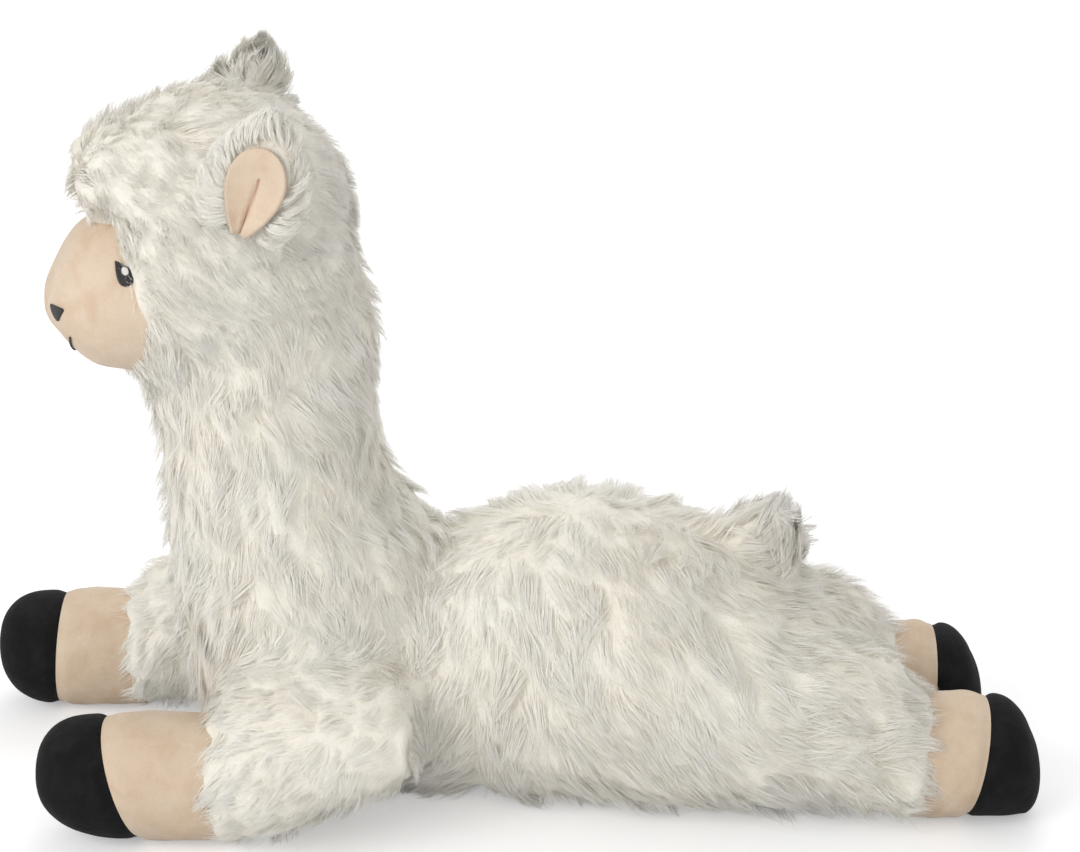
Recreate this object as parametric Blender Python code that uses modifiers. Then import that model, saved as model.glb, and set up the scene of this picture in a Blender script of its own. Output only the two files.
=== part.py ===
"""Plush llama that lies on its belly with its neck upright and its legs stretched out.

Long-pile coat panels are sewn over a soft filling. The face, the leg cuffs, the hooves and the
ear linings are short-pile cloth, and the eyes, nostrils and mouth are embroidered.
The nose points along -Y, the llama's own left side is +X and the floor is Z = 0. Metres.
"""

import math
from collections import namedtuple

import bmesh
import bpy
from mathutils import Euler, Vector

# Cloth and seams
GAP = 0.0003              # left between pieces that touch
SEAM_GAP = 0.0007         # hoof to cuff, where both cloths turn in
PILE = 0.0125             # long pile of the coat with its backing
SHORT_PILE = 0.0022       # velvety cloth of face, cuffs, hooves and ear linings
LOOSE = 0.0014            # filling to short-pile cloth, so that their facets stay apart
EDGE = 0.002              # keeps the ends of a cutter nearly square when it is smoothed
STITCH = 0.0009           # how far the embroidery stands proud
TUFT_HEIGHT = 0.0085      # from the bottom of a parting to the top of a tuft
TUFT_WIDTH = 0.0105       # across the lie of the pile
TUFT_LENGTH = 0.024       # along the lie of the pile

# Torso
TORSO_FRONT = -0.088
TORSO_LENGTH = 0.266
TORSO_WIDTH = 0.178
TORSO_HEIGHT = 0.161
BELLY_SINK = 0.012        # depth of the round belly that the floor presses flat

# Neck and chest
CHEST_WIDTH = 0.130
CHEST_FRONT = -0.190
CHEST_BACK = -0.040
NECK_WIDTH = 0.106
NECK_FRONT = -0.191
NECK_BACK = -0.079
NECK_TOP = 0.296
THROAT_REACH = 0.014      # how far the fur under the jaw stands in front of the neck

# Head
HEAD_Y = -0.157
HEAD_LENGTH = 0.144
HEAD_WIDTH = 0.122
HEAD_BOTTOM = 0.211
HEAD_HEIGHT = 0.160
HEAD_TURN = math.radians(8)

# Muzzle
FACE_WIDTH = 0.090
FACE_HEIGHT = 0.081
FACE_DEPTH = 0.052        # from the seam in the coat to the nose
FACE_TIP = -0.2415
FACE_Z = 0.2730
FACE_TUCK = 0.008         # short-pile cloth that runs on under the long pile

# Embroidery, as distances from the middle of the muzzle
EYE_HEIGHT = 0.0135
EYE_WIDTH = 0.0100
EYE_UP = 0.0215
EYE_BACK = 0.0378         # behind the nose
EYE_TILT = math.radians(-24)
GLINT = 0.0034
NOSTRIL_WIDTH = 0.0105
NOSTRIL_HEIGHT = 0.0085
NOSTRIL_APART = 0.0410
NOSTRIL_DOWN = 0.0015
MOUTH_WIDTH = 0.046
MOUTH_RISE = 0.0130
MOUTH_DOWN = 0.0275
MOUTH_THREAD = 0.0016

# Ears
EAR_LENGTH = 0.045
EAR_WIDTH = 0.030
EAR_RIM = 0.0080          # pile that shows round the lining
EAR_CREST = 0.0120        # pile that stands over the lining's tip
EAR_PILE = 0.0110
EAR_HOLLOW = 0.0050       # depth of the fold down the lining
EAR_OUT = 0.0715          # from the middle of the head
EAR_BACK = 0.006          # behind the middle of the head
EAR_Z = 0.315
EAR_LEAN = math.radians(4)       # tip towards the middle of the head
EAR_SWEEP = math.radians(20)     # tip towards the back of the head
EAR_FACING = math.radians(68)    # from straight ahead towards the side

# Tail
TAIL_LENGTH = 0.060
TAIL_WIDTH = 0.054
TAIL_THICKNESS = 0.034
TAIL_Y = 0.117
TAIL_ROOT = 0.092         # height of the tail's root
TAIL_LEAN = math.radians(-11)

# Legs
CUFF_WIDTH = 0.063
HOOF_WIDTH = 0.062
CUFF_TUCK = 0.008
SLEEVE_OPENING = 0.073    # width of the coat where the cuff comes out
SHOULDER_RISE = 0.036     # from the floor to the underside of the leg where it meets the body

# Each leg: toe, direction that it points in, lengths of hoof, cuff and coat sleeve, size of the
# sleeve, how much the toe lifts or droops, and how far the hoof's seam leans to the toe on top.
Leg = namedtuple("Leg", "name toe heading hoof cuff sleeve sleeve_width sleeve_height toe_lift "
                        "seam_lean")
FORWARD = math.radians(0)
REARWARD = math.radians(180)
LEGS = (
    Leg("front_left", (0.068, -0.2505), FORWARD, 0.043, 0.045, 0.106, 0.100, 0.097, 0.002, -0.018),
    Leg("front_right", (-0.075, -0.2955), FORWARD, 0.034, 0.038, 0.130, 0.092, 0.094, 0.003, 0.004),
    Leg("hind_left", (0.046, 0.2530), REARWARD, 0.033, 0.026, 0.122, 0.088, 0.098, -0.011, -0.011),
    Leg("hind_right", (-0.035, 0.2360), REARWARD, 0.028, 0.022, 0.116, 0.084, 0.098, -0.010, -0.003),
)

# The frame's origin is below the middle of the whole toy.
CENTRE_SHIFT = (0.0025, 0.0212)

SIDES = 10                # corners of a cage ring
LEG_SIDES = 8             # corners of a hoof's or a cuff's cage ring
FILLING_SIDES = 6         # corners of a filling's cage ring
TUFT_DETAIL = 0.33        # share of the faces that a tufted surface keeps
GROUND_BLOCK = 1.0

COAT_WHITE = (0.760, 0.725, 0.665)
SKIN_PEACH = (0.745, 0.560, 0.430)
HOOF_BLACK = (0.012, 0.012, 0.013)
THREAD_BLACK = (0.016, 0.014, 0.013)
THREAD_WHITE = (0.850, 0.845, 0.830)
FILLING_WHITE = (0.800, 0.795, 0.780)


def start_scene():
    """Empty the scene and return the collections for the toy and for its cutters."""
    for obj in list(bpy.data.objects):
        bpy.data.objects.remove(obj, do_unlink=True)
    toy = bpy.data.collections.new("plush_llama")
    cutters = bpy.data.collections.new("cutters")
    bpy.context.scene.collection.children.link(toy)
    bpy.context.scene.collection.children.link(cutters)
    return toy, cutters


def cloth(name, colour, roughness):
    """Return a dull non-metallic material."""
    material = bpy.data.materials.new(name)
    material.use_nodes = True
    shader = material.node_tree.nodes["Principled BSDF"]
    shader.inputs["Base Color"].default_value = (*colour, 1.0)
    shader.inputs["Roughness"].default_value = roughness
    shader.inputs["Metallic"].default_value = 0.0
    return material


def empty(name, location=(0, 0, 0), rotation=(0, 0, 0), parent=None):
    """Return an empty that places other objects."""
    holder = bpy.data.objects.new(name, None)
    holder.location = location
    holder.rotation_euler = rotation
    holder.parent = parent
    CUTTERS.objects.link(holder)
    return holder


# A station is one cross-section of a soft form: where it lies along the form's axis, half its
# width, its low and high edge across the axis, and how far its high edge leans along the axis.
Station = namedtuple("Station", "at half low high lean", defaults=(0.0,))


def shrink(stations, wall, floor=None):
    """Return the stations moved in by a wall, and above a floor where one is given."""
    middle = (stations[0].at + stations[-1].at) / 2
    reach = abs(stations[-1].at - stations[0].at) / 2
    squeeze = (reach - wall) / reach
    inner = []
    for station in stations:
        low = station.low if floor is None else max(station.low, floor)
        half = max(station.half - wall, wall)
        centre = (low + station.high) / 2
        tall = max((station.high - low) / 2 - wall, wall)
        at = middle + (station.at - middle) * squeeze
        inner.append(Station(at, half, centre - tall, centre + tall, station.lean))
    return inner


def ring_points(station, axis, sides, levels):
    """Return one ring of cage corners, swollen so that the smoothed ring has the full size."""
    bend = math.cos(2 * math.pi / sides)
    swelling = 4.0 / (3.0 + bend) if levels == 1 else 3.0 / (2.0 + bend)
    centre = (station.low + station.high) / 2
    tall = (station.high - station.low) / 2
    points = []
    for corner in range(sides):
        angle = 2 * math.pi * (corner + 0.5) / sides
        across = station.half * swelling * math.cos(angle)
        up = tall * swelling * math.sin(angle)
        at = station.at + station.lean * up / (2 * tall)
        if axis == "Y":
            points.append(Vector((across, at, centre + up)))
        else:
            points.append(Vector((across, centre + up, at)))
    return points


def cage(name, stations, axis="Y", sides=SIDES, levels=1, caps=(True, True)):
    """Return a mesh of rings joined by quads, with a flat cap at each closed end."""
    builder = bmesh.new()
    rings = []
    for station in stations:
        corners = ring_points(station, axis, sides, levels)
        rings.append([builder.verts.new(corner) for corner in corners])
    for near, far in zip(rings, rings[1:]):
        for i in range(sides):
            j = (i + 1) % sides
            builder.faces.new((near[i], near[j], far[j], far[i]))
    for ring, wanted in ((rings[0], caps[0]), (rings[-1], caps[1])):
        if wanted:
            builder.faces.new(ring)
    bmesh.ops.recalc_face_normals(builder, faces=builder.faces)
    turn_outward(builder)
    return finish_mesh(name, builder)


def turn_outward(builder):
    """Make the faces look away from the middle of the form."""
    middle = Vector((0, 0, 0))
    for vertex in builder.verts:
        middle += vertex.co / len(builder.verts)
    outward = 0.0
    for face in builder.faces:
        outward += face.normal.dot(face.calc_center_median() - middle) * face.calc_area()
    if outward < 0:
        bmesh.ops.reverse_faces(builder, faces=builder.faces)


def finish_mesh(name, builder):
    """Turn the built faces into a smoothly shaded mesh."""
    mesh = bpy.data.meshes.new(name)
    builder.to_mesh(mesh)
    builder.free()
    mesh.shade_smooth()
    return mesh


def smooth(obj, levels):
    """Round a cage."""
    modifier = obj.modifiers.new("smooth", "SUBSURF")
    modifier.levels = levels
    modifier.render_levels = levels


def ruffle(obj, grain):
    """Raise tufts that are longer along the grain empty's local Z than across it."""
    texture = bpy.data.textures.get("tufts") or bpy.data.textures.new("tufts", "CLOUDS")
    texture.noise_scale = 1.0
    texture.noise_depth = 0
    modifier = obj.modifiers.new("tufts", "DISPLACE")
    modifier.texture = texture
    modifier.texture_coords = "OBJECT"
    modifier.texture_coords_object = grain
    modifier.mid_level = 0.5
    modifier.strength = TUFT_HEIGHT


def swell(obj, distance):
    """Move a closed surface outward."""
    modifier = obj.modifiers.new("swell", "DISPLACE")
    modifier.mid_level = 0.0
    modifier.strength = distance


def thicken(obj, thickness, offset=-1.0):
    """Give an open surface its wall, inward unless the offset says otherwise."""
    modifier = obj.modifiers.new("wall", "SOLIDIFY")
    modifier.thickness = thickness
    modifier.offset = offset


def cut(obj, cutter, operation="DIFFERENCE"):
    """Trim a solid by another one, or join the other one to it."""
    modifier = obj.modifiers.new(operation.lower() + "_" + cutter.name, "BOOLEAN")
    modifier.operation = operation
    modifier.object = cutter
    modifier.solver = "EXACT"


def add(name, mesh, collection, parent, material=None):
    """Link a mesh as a named object under its holder."""
    obj = bpy.data.objects.new(name, mesh)
    collection.objects.link(obj)
    obj.parent = parent
    if material:
        mesh.materials.append(material)
    if collection is CUTTERS:
        obj.hide_render = True
        obj.display_type = "WIRE"
    return obj


def face_islands(builder):
    """Return the groups of connected faces, smallest area first."""
    islands = []
    waiting = set(builder.faces)
    while waiting:
        stack = [waiting.pop()]
        island = []
        while stack:
            face = stack.pop()
            island.append(face)
            for edge in face.edges:
                for other in edge.link_faces:
                    if other in waiting:
                        waiting.remove(other)
                        stack.append(other)
        islands.append(island)
    return sorted(islands, key=lambda faces: sum(face.calc_area() for face in faces))


def settle(obj):
    """Keep the evaluated shape, without the crumbs that the cuts leave beside it."""
    depsgraph = bpy.context.evaluated_depsgraph_get()
    mesh = bpy.data.meshes.new_from_object(obj.evaluated_get(depsgraph))
    obj.modifiers.clear()
    obj.data = mesh
    builder = bmesh.new()
    builder.from_mesh(mesh)
    crumbs = [face for island in face_islands(builder)[:-1] for face in island]
    bmesh.ops.delete(builder, geom=crumbs, context="FACES")
    builder.to_mesh(mesh)
    builder.free()
    mesh.shade_smooth()


def grain_empty(name, slope, parent):
    """Return the empty that sets the size and the lie of the tufts."""
    grain = empty(name, (0, 0, 0), (slope, 0, 0), parent)
    grain.scale = (TUFT_WIDTH, TUFT_WIDTH, TUFT_LENGTH)
    return grain


def volume(name, stations, axis, holder, levels=1, grain=None, sides=SIDES, collection=None,
           material=None):
    """Return a closed smoothed form, with tufts where a grain is given."""
    mesh = cage(name, stations, axis, sides, levels)
    obj = add(name, mesh, collection or CUTTERS, holder, material)
    smooth(obj, levels)
    if grain:
        ruffle(obj, grain)
    if levels > 1:
        thin = obj.modifiers.new("thin", "DECIMATE")
        thin.ratio = TUFT_DETAIL
    facets = obj.modifiers.new("facets", "TRIANGULATE")
    facets.quad_method = "FIXED"
    return obj


def cutter(name, stations, axis, holder, levels=1, grain=None, sides=SIDES):
    """Return a form grown by the gap, for trimming its neighbours."""
    obj = volume(name, stations, axis, holder, levels, grain, sides)
    swell(obj, GAP)
    return obj


class Soft:
    """A stuffed form: the outside of its coat, the inside that is filled, and their cutters."""

    def __init__(self, name, stations, inner, axis, holder, levels, lie):
        self.name = name
        self.stations = stations
        self.inner = inner
        self.axis = axis
        self.holder = holder
        self.levels = levels
        self.grain = grain_empty(name + "_grain", lie, holder)
        self.outside = cutter(name + "_outside", stations, axis, holder, levels, self.grain)
        self.inside = cutter(name + "_inside", inner, axis, holder, sides=FILLING_SIDES)

    def make_coat(self, material, beside):
        """Make the coat, hollow inside and trimmed by what it meets."""
        coat = volume(self.name + "_coat", self.stations, self.axis, self.holder, self.levels,
                      self.grain, SIDES, TOY, material)
        for solid in [GROUND, self.inside] + beside:
            cut(coat, solid)
        settle(coat)

    def make_filling(self, material, beside, joined=()):
        """Make the filling, trimmed by the fillings that it meets."""
        filling = volume(self.name + "_filling", self.inner, self.axis, self.holder, 1, None,
                         FILLING_SIDES, TOY, material)
        for solid in beside:
            cut(filling, solid)
        for solid in joined:
            cut(filling, solid, "UNION")
        settle(filling)


def torso_stations():
    """Cross-sections of the trunk, from under the neck to the rump."""
    shape = (
        # share of the length, share of the width, share of the height
        (0.00, 0.44, 0.66),
        (0.12, 0.72, 0.83),
        (0.26, 0.81, 0.93),
        (0.42, 0.93, 1.00),
        (0.60, 1.05, 0.890),
        (0.76, 1.07, 0.750),
        (0.90, 0.86, 0.600),
        (1.00, 0.54, 0.450),
    )
    stations = []
    for along, wide, high in shape:
        at = TORSO_FRONT + TORSO_LENGTH * along
        stations.append(Station(at, TORSO_WIDTH / 2 * wide, -BELLY_SINK, TORSO_HEIGHT * high))
    return stations


def neck_stations():
    """Cross-sections of the chest and neck, from the floor up into the head."""
    slope = NECK_BACK - CHEST_BACK
    shape = (
        # share of the height, half width, front, share of the slope of the back
        (-0.04, CHEST_WIDTH * 0.28, CHEST_FRONT + 0.030, 0.45),
        (0.08, CHEST_WIDTH * 0.40, CHEST_FRONT + 0.014, 0.12),
        (0.24, CHEST_WIDTH * 0.49, CHEST_FRONT + 0.003, 0.00),
        (0.40, CHEST_WIDTH * 0.50, CHEST_FRONT, 0.04),
        (0.50, CHEST_WIDTH * 0.47, NECK_FRONT, 0.42),
        (0.57, NECK_WIDTH * 0.54, NECK_FRONT, 1.00),
        (0.68, NECK_WIDTH * 0.50, NECK_FRONT, 1.00),
        (0.76, NECK_WIDTH * 0.50, NECK_FRONT - THROAT_REACH, 0.98),
        (0.88, NECK_WIDTH * 0.48, NECK_FRONT, 0.98),
        (1.00, NECK_WIDTH * 0.40, NECK_FRONT + 0.022, 1.16),
    )
    stations = []
    for up, half, front, back in shape:
        stations.append(Station(NECK_TOP * up, half, front, CHEST_BACK + slope * back))
    return stations


def neck_filling_stations():
    """The neck's inside, from above the coat on the floor up into the head."""
    inner = shrink(neck_stations(), PILE)
    inner[0] = inner[0]._replace(at=PILE)
    inner[1] = inner[1]._replace(at=PILE * 2)
    inner[-1] = inner[-1]._replace(at=NECK_TOP)
    return inner


def head_stations():
    """Cross-sections of the head from the brow to its back."""
    shape = (
        # share of the length from the middle, of the width, of the height: low and high
        (-0.500, 0.34, 0.610, 0.775),
        (-0.440, 0.56, 0.605, 0.855),
        (-0.370, 0.70, 0.615, 0.895),
        (-0.310, 0.79, 0.600, 0.920),
        (-0.280, 0.87, 0.200, 0.930),
        (-0.230, 0.92, 0.050, 0.950),
        (-0.140, 0.97, 0.010, 0.985),
        (-0.030, 0.99, 0.000, 1.000),
        (0.120, 1.00, 0.010, 0.985),
        (0.290, 0.92, 0.060, 0.915),
        (0.410, 0.74, 0.180, 0.810),
        (0.480, 0.46, 0.320, 0.680),
    )
    stations = []
    for along, wide, low, high in shape:
        bottom = HEAD_BOTTOM + HEAD_HEIGHT * low
        top = HEAD_BOTTOM + HEAD_HEIGHT * high
        stations.append(Station(HEAD_LENGTH * along, HEAD_WIDTH / 2 * wide, bottom, top))
    return stations


def face_stations():
    """Cross-sections of the muzzle, in the head's frame, from the nose to under the coat."""
    tip = FACE_TIP - HEAD_Y
    shape = (
        # share of the depth behind the nose, of the width, of the height: below and above
        (0.00, 0.17, 0.14, 0.10),
        (0.06, 0.38, 0.24, 0.22),
        (0.22, 0.63, 0.365, 0.33),
        (0.46, 0.84, 0.455, 0.415),
        (0.74, 0.97, 0.495, 0.475),
        (1.00, 1.00, 0.500, 0.500),
    )
    stations = []
    for behind, wide, below, above in shape:
        low = FACE_Z - FACE_HEIGHT * below
        high = FACE_Z + FACE_HEIGHT * above
        stations.append(Station(tip + FACE_DEPTH * behind, FACE_WIDTH / 2 * wide, low, high))
    last = stations[-1]
    stations.append(last._replace(at=last.at + FACE_TUCK))
    return stations


def face_opening_stations():
    """The muzzle's outside carried on past its rim, for the opening in the coat."""
    stations = face_stations()
    last = stations[-1]
    return stations + [last._replace(at=last.at + FACE_TUCK)]


def face_filling_stations():
    """The muzzle's inside, running on into the head."""
    inner = shrink(face_stations(), SHORT_PILE + LOOSE)
    last = inner[-1]
    inner.append(last._replace(at=last.at + FACE_DEPTH))
    return inner


def hoof_stations(leg):
    """Cross-sections of the hoof from the toe back, in the leg's own frame."""
    shape = (
        # share of the length, share of the width, share of the toe's lift
        (0.00, 0.36, 1.00),
        (0.10, 0.66, 0.80),
        (0.42, 0.92, 0.32),
        (1.00, 1.00, 0.00),
    )
    stations = []
    for along, wide, lifted in shape:
        half = HOOF_WIDTH / 2 * wide
        centre = max(CUFF_WIDTH / 2 + leg.toe_lift * lifted, half + GAP)
        lean = leg.seam_lean * along
        stations.append(Station(leg.hoof * along, half, centre - half, centre + half, lean))
    return stations


def cuff_stations(leg):
    """Cross-sections of the cuff, from the hoof's seam to under the coat."""
    half = CUFF_WIDTH / 2
    seam = leg.hoof + SEAM_GAP
    under_coat = leg.hoof + leg.cuff + CUFF_TUCK
    return [Station(seam, half, GAP, CUFF_WIDTH, leg.seam_lean),
            Station(under_coat, half, GAP, CUFF_WIDTH)]


def cuff_opening_stations(leg):
    """The cuff's outside carried on past its rim, for the opening in the coat."""
    seam, under_coat = cuff_stations(leg)
    stations = [seam, seam._replace(at=seam.at + EDGE)]
    for step in (-1, 1, 2):
        stations.append(under_coat._replace(at=under_coat.at + EDGE * step))
    return stations


def sleeve_stations(leg):
    """Cross-sections of the coat's sleeve, from the cuff into the body."""
    shape = (
        # share of the sleeve, share of the change from opening to full size, share of the rise
        (0.00, 0.00, 0.00),
        (0.10, 0.55, -0.10),
        (0.32, 1.00, 0.00),
        (0.62, 1.00, 0.45),
        (0.90, 0.80, 0.90),
        (1.00, 0.40, 1.00),
    )
    stations = []
    for along, full, rise in shape:
        half = (SLEEVE_OPENING + (leg.sleeve_width - SLEEVE_OPENING) * full) / 2
        high = SLEEVE_OPENING + (leg.sleeve_height - SLEEVE_OPENING) * full
        at = leg.hoof + leg.cuff + leg.sleeve * along
        stations.append(Station(at, half, SHOULDER_RISE * rise, high))
    return stations


def leg_filling_stations(leg):
    """A leg's inside: within hoof and cuff, then within the sleeve."""
    skin = SHORT_PILE + LOOSE
    inside = []
    for step, station in enumerate(hoof_stations(leg)[:-1]):
        at = station.at + skin * (1 - step / 3)
        half = max(station.half - skin, skin)
        centre = (station.low + station.high) / 2
        inside.append(Station(at, half, centre - half, centre + half, station.lean))
    half = CUFF_WIDTH / 2 - skin
    seam = leg.hoof
    under_coat = leg.hoof + leg.cuff + CUFF_TUCK
    inside.append(Station(seam, HOOF_WIDTH / 2 - skin, skin, CUFF_WIDTH - skin, leg.seam_lean))
    for past in (0.0, CUFF_TUCK / 2):
        inside.append(Station(under_coat + past, half, skin, CUFF_WIDTH - skin))
    for station in sleeve_stations(leg)[2:]:
        low = max(station.low, 0.0) + PILE
        inside.append(Station(station.at, station.half - PILE, low, station.high - PILE))
    last = inside[-1]
    inside[-1] = last._replace(at=last.at - PILE)
    return inside


def make_shell(name, stations, caps, holder, material, sides):
    """Make a short-pile piece: an open smoothed surface with a wall."""
    shell = add(name, cage(name, stations, "Y", sides, caps=caps), TOY, holder, material)
    smooth(shell, 1)
    thicken(shell, SHORT_PILE)
    return shell


def ear_surface(name, length, width, behind):
    """Return a leaf-shaped sheet with a fold down its middle; its hollow looks along +Z."""
    rows = 5
    columns = 4
    builder = bmesh.new()
    grid = []
    for row in range(rows + 1):
        up = row / rows
        spread = math.sin(math.pi * (0.17 + 0.80 * up ** 0.9)) ** 0.75
        line = []
        for column in range(columns + 1):
            side = 2 * column / columns - 1
            x = width / 2 * spread * side
            y = length * (up - 0.04 * side * side)
            z = -EAR_HOLLOW * (1 - abs(side)) * math.sin(math.pi * min(up + 0.15, 1.0)) - behind
            line.append(builder.verts.new((x, y, z)))
        grid.append(line)
    for low, high in zip(grid, grid[1:]):
        for i in range(columns):
            builder.faces.new((low[i], low[i + 1], high[i + 1], high[i]))
    return finish_mesh(name, builder)


def make_ear(side_name, side, head_holder, head, coat, lining_cloth):
    """Make one ear: a short-pile lining in front of a larger long-pile back."""
    turn = Euler((math.radians(90) - EAR_LEAN, side * EAR_SWEEP, side * EAR_FACING))
    place = (side * EAR_OUT, EAR_BACK, EAR_Z)
    holder = empty(side_name + "_ear_holder", place, turn, head_holder)

    lining = add(side_name + "_ear_lining", ear_surface("lining", EAR_LENGTH, EAR_WIDTH, 0.0),
                 TOY, holder, lining_cloth)
    smooth(lining, 1)
    thicken(lining, SHORT_PILE)
    cut(lining, head.outside)
    settle(lining)

    sheet = ear_surface("back", EAR_LENGTH + EAR_CREST, EAR_WIDTH + 2 * EAR_RIM,
                        SHORT_PILE + GAP * 2)
    back = add(side_name + "_ear_back", sheet, TOY, holder, coat)
    thicken(back, EAR_PILE)
    smooth(back, 1)
    cut(back, head.outside)
    settle(back)


def make_tail(material, origin, torso):
    """Make the tail, a tufted flap that stands on the rump."""
    shape = (
        # share of the length, share of the width, share of the thickness
        (-0.22, 0.45, 0.60),
        (0.05, 0.62, 0.85),
        (0.40, 0.92, 1.00),
        (0.78, 1.00, 0.90),
        (1.00, 0.66, 0.50),
    )
    stations = []
    for up, wide, thick in shape:
        depth = TAIL_WIDTH / 2 * wide
        stations.append(Station(TAIL_LENGTH * up, TAIL_THICKNESS / 2 * thick, -depth, depth))
    holder = empty("tail_holder", (0, TAIL_Y, TAIL_ROOT), (-TAIL_LEAN, 0, 0), origin)
    grain = grain_empty("tail_grain", 0, holder)
    tail = volume("tail", stations, "Z", holder, 2, grain, SIDES, TOY, material)
    cut(tail, torso.outside)
    settle(tail)


def make_patch(name, corners, axis, direction, target, material, holder, proud=GAP):
    """Make an embroidered patch with this outline, laid on the target along one axis."""
    builder = bmesh.new()
    middle = Vector((0, 0, 0))
    for corner in corners:
        middle += Vector(corner) / len(corners)
    rim = [builder.verts.new(corner) for corner in corners]
    inner = [builder.verts.new((middle + Vector(corner)) / 2) for corner in corners]
    hub = builder.verts.new(middle)
    for i in range(len(corners)):
        j = (i + 1) % len(corners)
        builder.faces.new((rim[i], rim[j], inner[j], inner[i]))
        builder.faces.new((inner[i], inner[j], hub))
    return lay_on(name, builder, axis, direction, target, material, holder, proud)


def lay_on(name, builder, axis, direction, target, material, holder, proud=GAP):
    """Project a flat mesh onto the target, proud of it, and give it the stitching's thickness."""
    number = "XYZ".index(axis)
    builder.normal_update()
    if sum(face.normal[number] for face in builder.faces) * direction < 0:
        bmesh.ops.reverse_faces(builder, faces=builder.faces)
    patch = add(name, finish_mesh(name, builder), TOY, holder, material)
    wrap = patch.modifiers.new("lie", "SHRINKWRAP")
    wrap.target = target
    wrap.wrap_method = "PROJECT"
    wrap.wrap_mode = "ABOVE_SURFACE"
    setattr(wrap, "use_project_" + axis.lower(), True)
    wrap.use_negative_direction = direction > 0
    wrap.use_positive_direction = direction < 0
    wrap.offset = proud
    thicken(patch, STITCH, 1.0)
    return patch


def teardrop(length, width, tilt, corners=14):
    """Return a teardrop outline with its point up, turned by the tilt."""
    points = []
    for corner in range(corners):
        angle = 2 * math.pi * corner / corners
        across = width / 2 * math.sin(angle) * math.sin(angle / 2) ** 0.35
        up = length / 2 * math.cos(angle)
        points.append((across * math.cos(tilt) - up * math.sin(tilt),
                       across * math.sin(tilt) + up * math.cos(tilt)))
    return points


def make_eye(side_name, side, face, head, black, white, holder):
    """Embroider one eye and its glint on the side of the muzzle, up to the edge of the coat."""
    eye_y = FACE_TIP - HEAD_Y + EYE_BACK
    eye_z = FACE_Z + EYE_UP
    reach = side * FACE_WIDTH
    outline = [(reach, eye_y + y, eye_z + z)
               for y, z in teardrop(EYE_HEIGHT, EYE_WIDTH, -EYE_TILT)]
    eye = make_patch(side_name + "_eye", outline, "X", side, face, black, holder)
    cut(eye, head.outside)
    settle(eye)
    dot = []
    for corner in range(8):
        angle = 2 * math.pi * corner / 8
        dot.append((reach, eye_y + EYE_WIDTH * 0.12 + GLINT / 2 * math.cos(angle),
                    eye_z + GLINT / 2 * math.sin(angle)))
    glint = make_patch(side_name + "_eye_glint", dot, "X", side, face, white, holder,
                       STITCH + 2 * GAP)
    cut(glint, head.outside)
    settle(glint)


def make_nostril(side_name, side, face, black, holder):
    """Embroider one nostril, a triangle with its point down."""
    reach = FACE_TIP - HEAD_Y - FACE_DEPTH
    x = side * NOSTRIL_APART / 2
    top = FACE_Z - NOSTRIL_DOWN + NOSTRIL_HEIGHT / 2
    half = NOSTRIL_WIDTH / 2
    bevel = NOSTRIL_HEIGHT * 0.18
    outline = [
        (x - half, reach, top - bevel),
        (x - half + bevel, reach, top),
        (x + half - bevel, reach, top),
        (x + half, reach, top - bevel),
        (x - side * half * 0.25 + bevel, reach, top - NOSTRIL_HEIGHT),
        (x - side * half * 0.25 - bevel, reach, top - NOSTRIL_HEIGHT),
    ]
    finer = []
    for corner, following in zip(outline, outline[1:] + outline[:1]):
        finer.append(Vector(corner))
        finer.append((Vector(corner) + Vector(following)) / 2)
    make_patch(side_name + "_nostril", finer, "Y", -1, face, black, holder)


def make_mouth(face, black, holder):
    """Embroider the smile, a narrow band that rises at both ends."""
    steps = 16
    reach = FACE_TIP - HEAD_Y - FACE_DEPTH
    builder = bmesh.new()
    pairs = []
    for step in range(steps + 1):
        across = 2 * step / steps - 1
        x = MOUTH_WIDTH / 2 * across
        z = FACE_Z - MOUTH_DOWN + MOUTH_RISE * across ** 2
        slope = math.atan2(2 * MOUTH_RISE * across, MOUTH_WIDTH / 2)
        half = MOUTH_THREAD / 2 * (1 - 0.45 * across ** 4)
        sideways = Vector((-math.sin(slope), 0, math.cos(slope))) * half
        centre = Vector((x, reach, z))
        pairs.append((builder.verts.new(centre - sideways), builder.verts.new(centre + sideways)))
    for near, far in zip(pairs, pairs[1:]):
        builder.faces.new((near[0], far[0], far[1], near[1]))
    lay_on("mouth_stitching", builder, "Y", -1, face, black, holder)


def make_leg(leg, soft, holder, beside, fillings, materials):
    """Make one leg: hoof, cuff, coat sleeve and filling."""
    coat, peach, black, wad = materials
    make_shell(leg.name + "_hoof", hoof_stations(leg), (True, False), holder, black, LEG_SIDES)
    make_shell(leg.name + "_cuff", cuff_stations(leg), (False, False), holder, peach, LEG_SIDES)
    soft.make_coat(coat, beside)
    soft.make_filling(wad, fillings)


def make_ground():
    """Return the block below the floor that presses the soft forms flat."""
    builder = bmesh.new()
    bmesh.ops.create_cube(builder, size=GROUND_BLOCK)
    bmesh.ops.translate(builder, verts=builder.verts, vec=(0, 0, -GROUND_BLOCK / 2))
    return add("ground", finish_mesh("ground", builder), CUTTERS, None)


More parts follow.
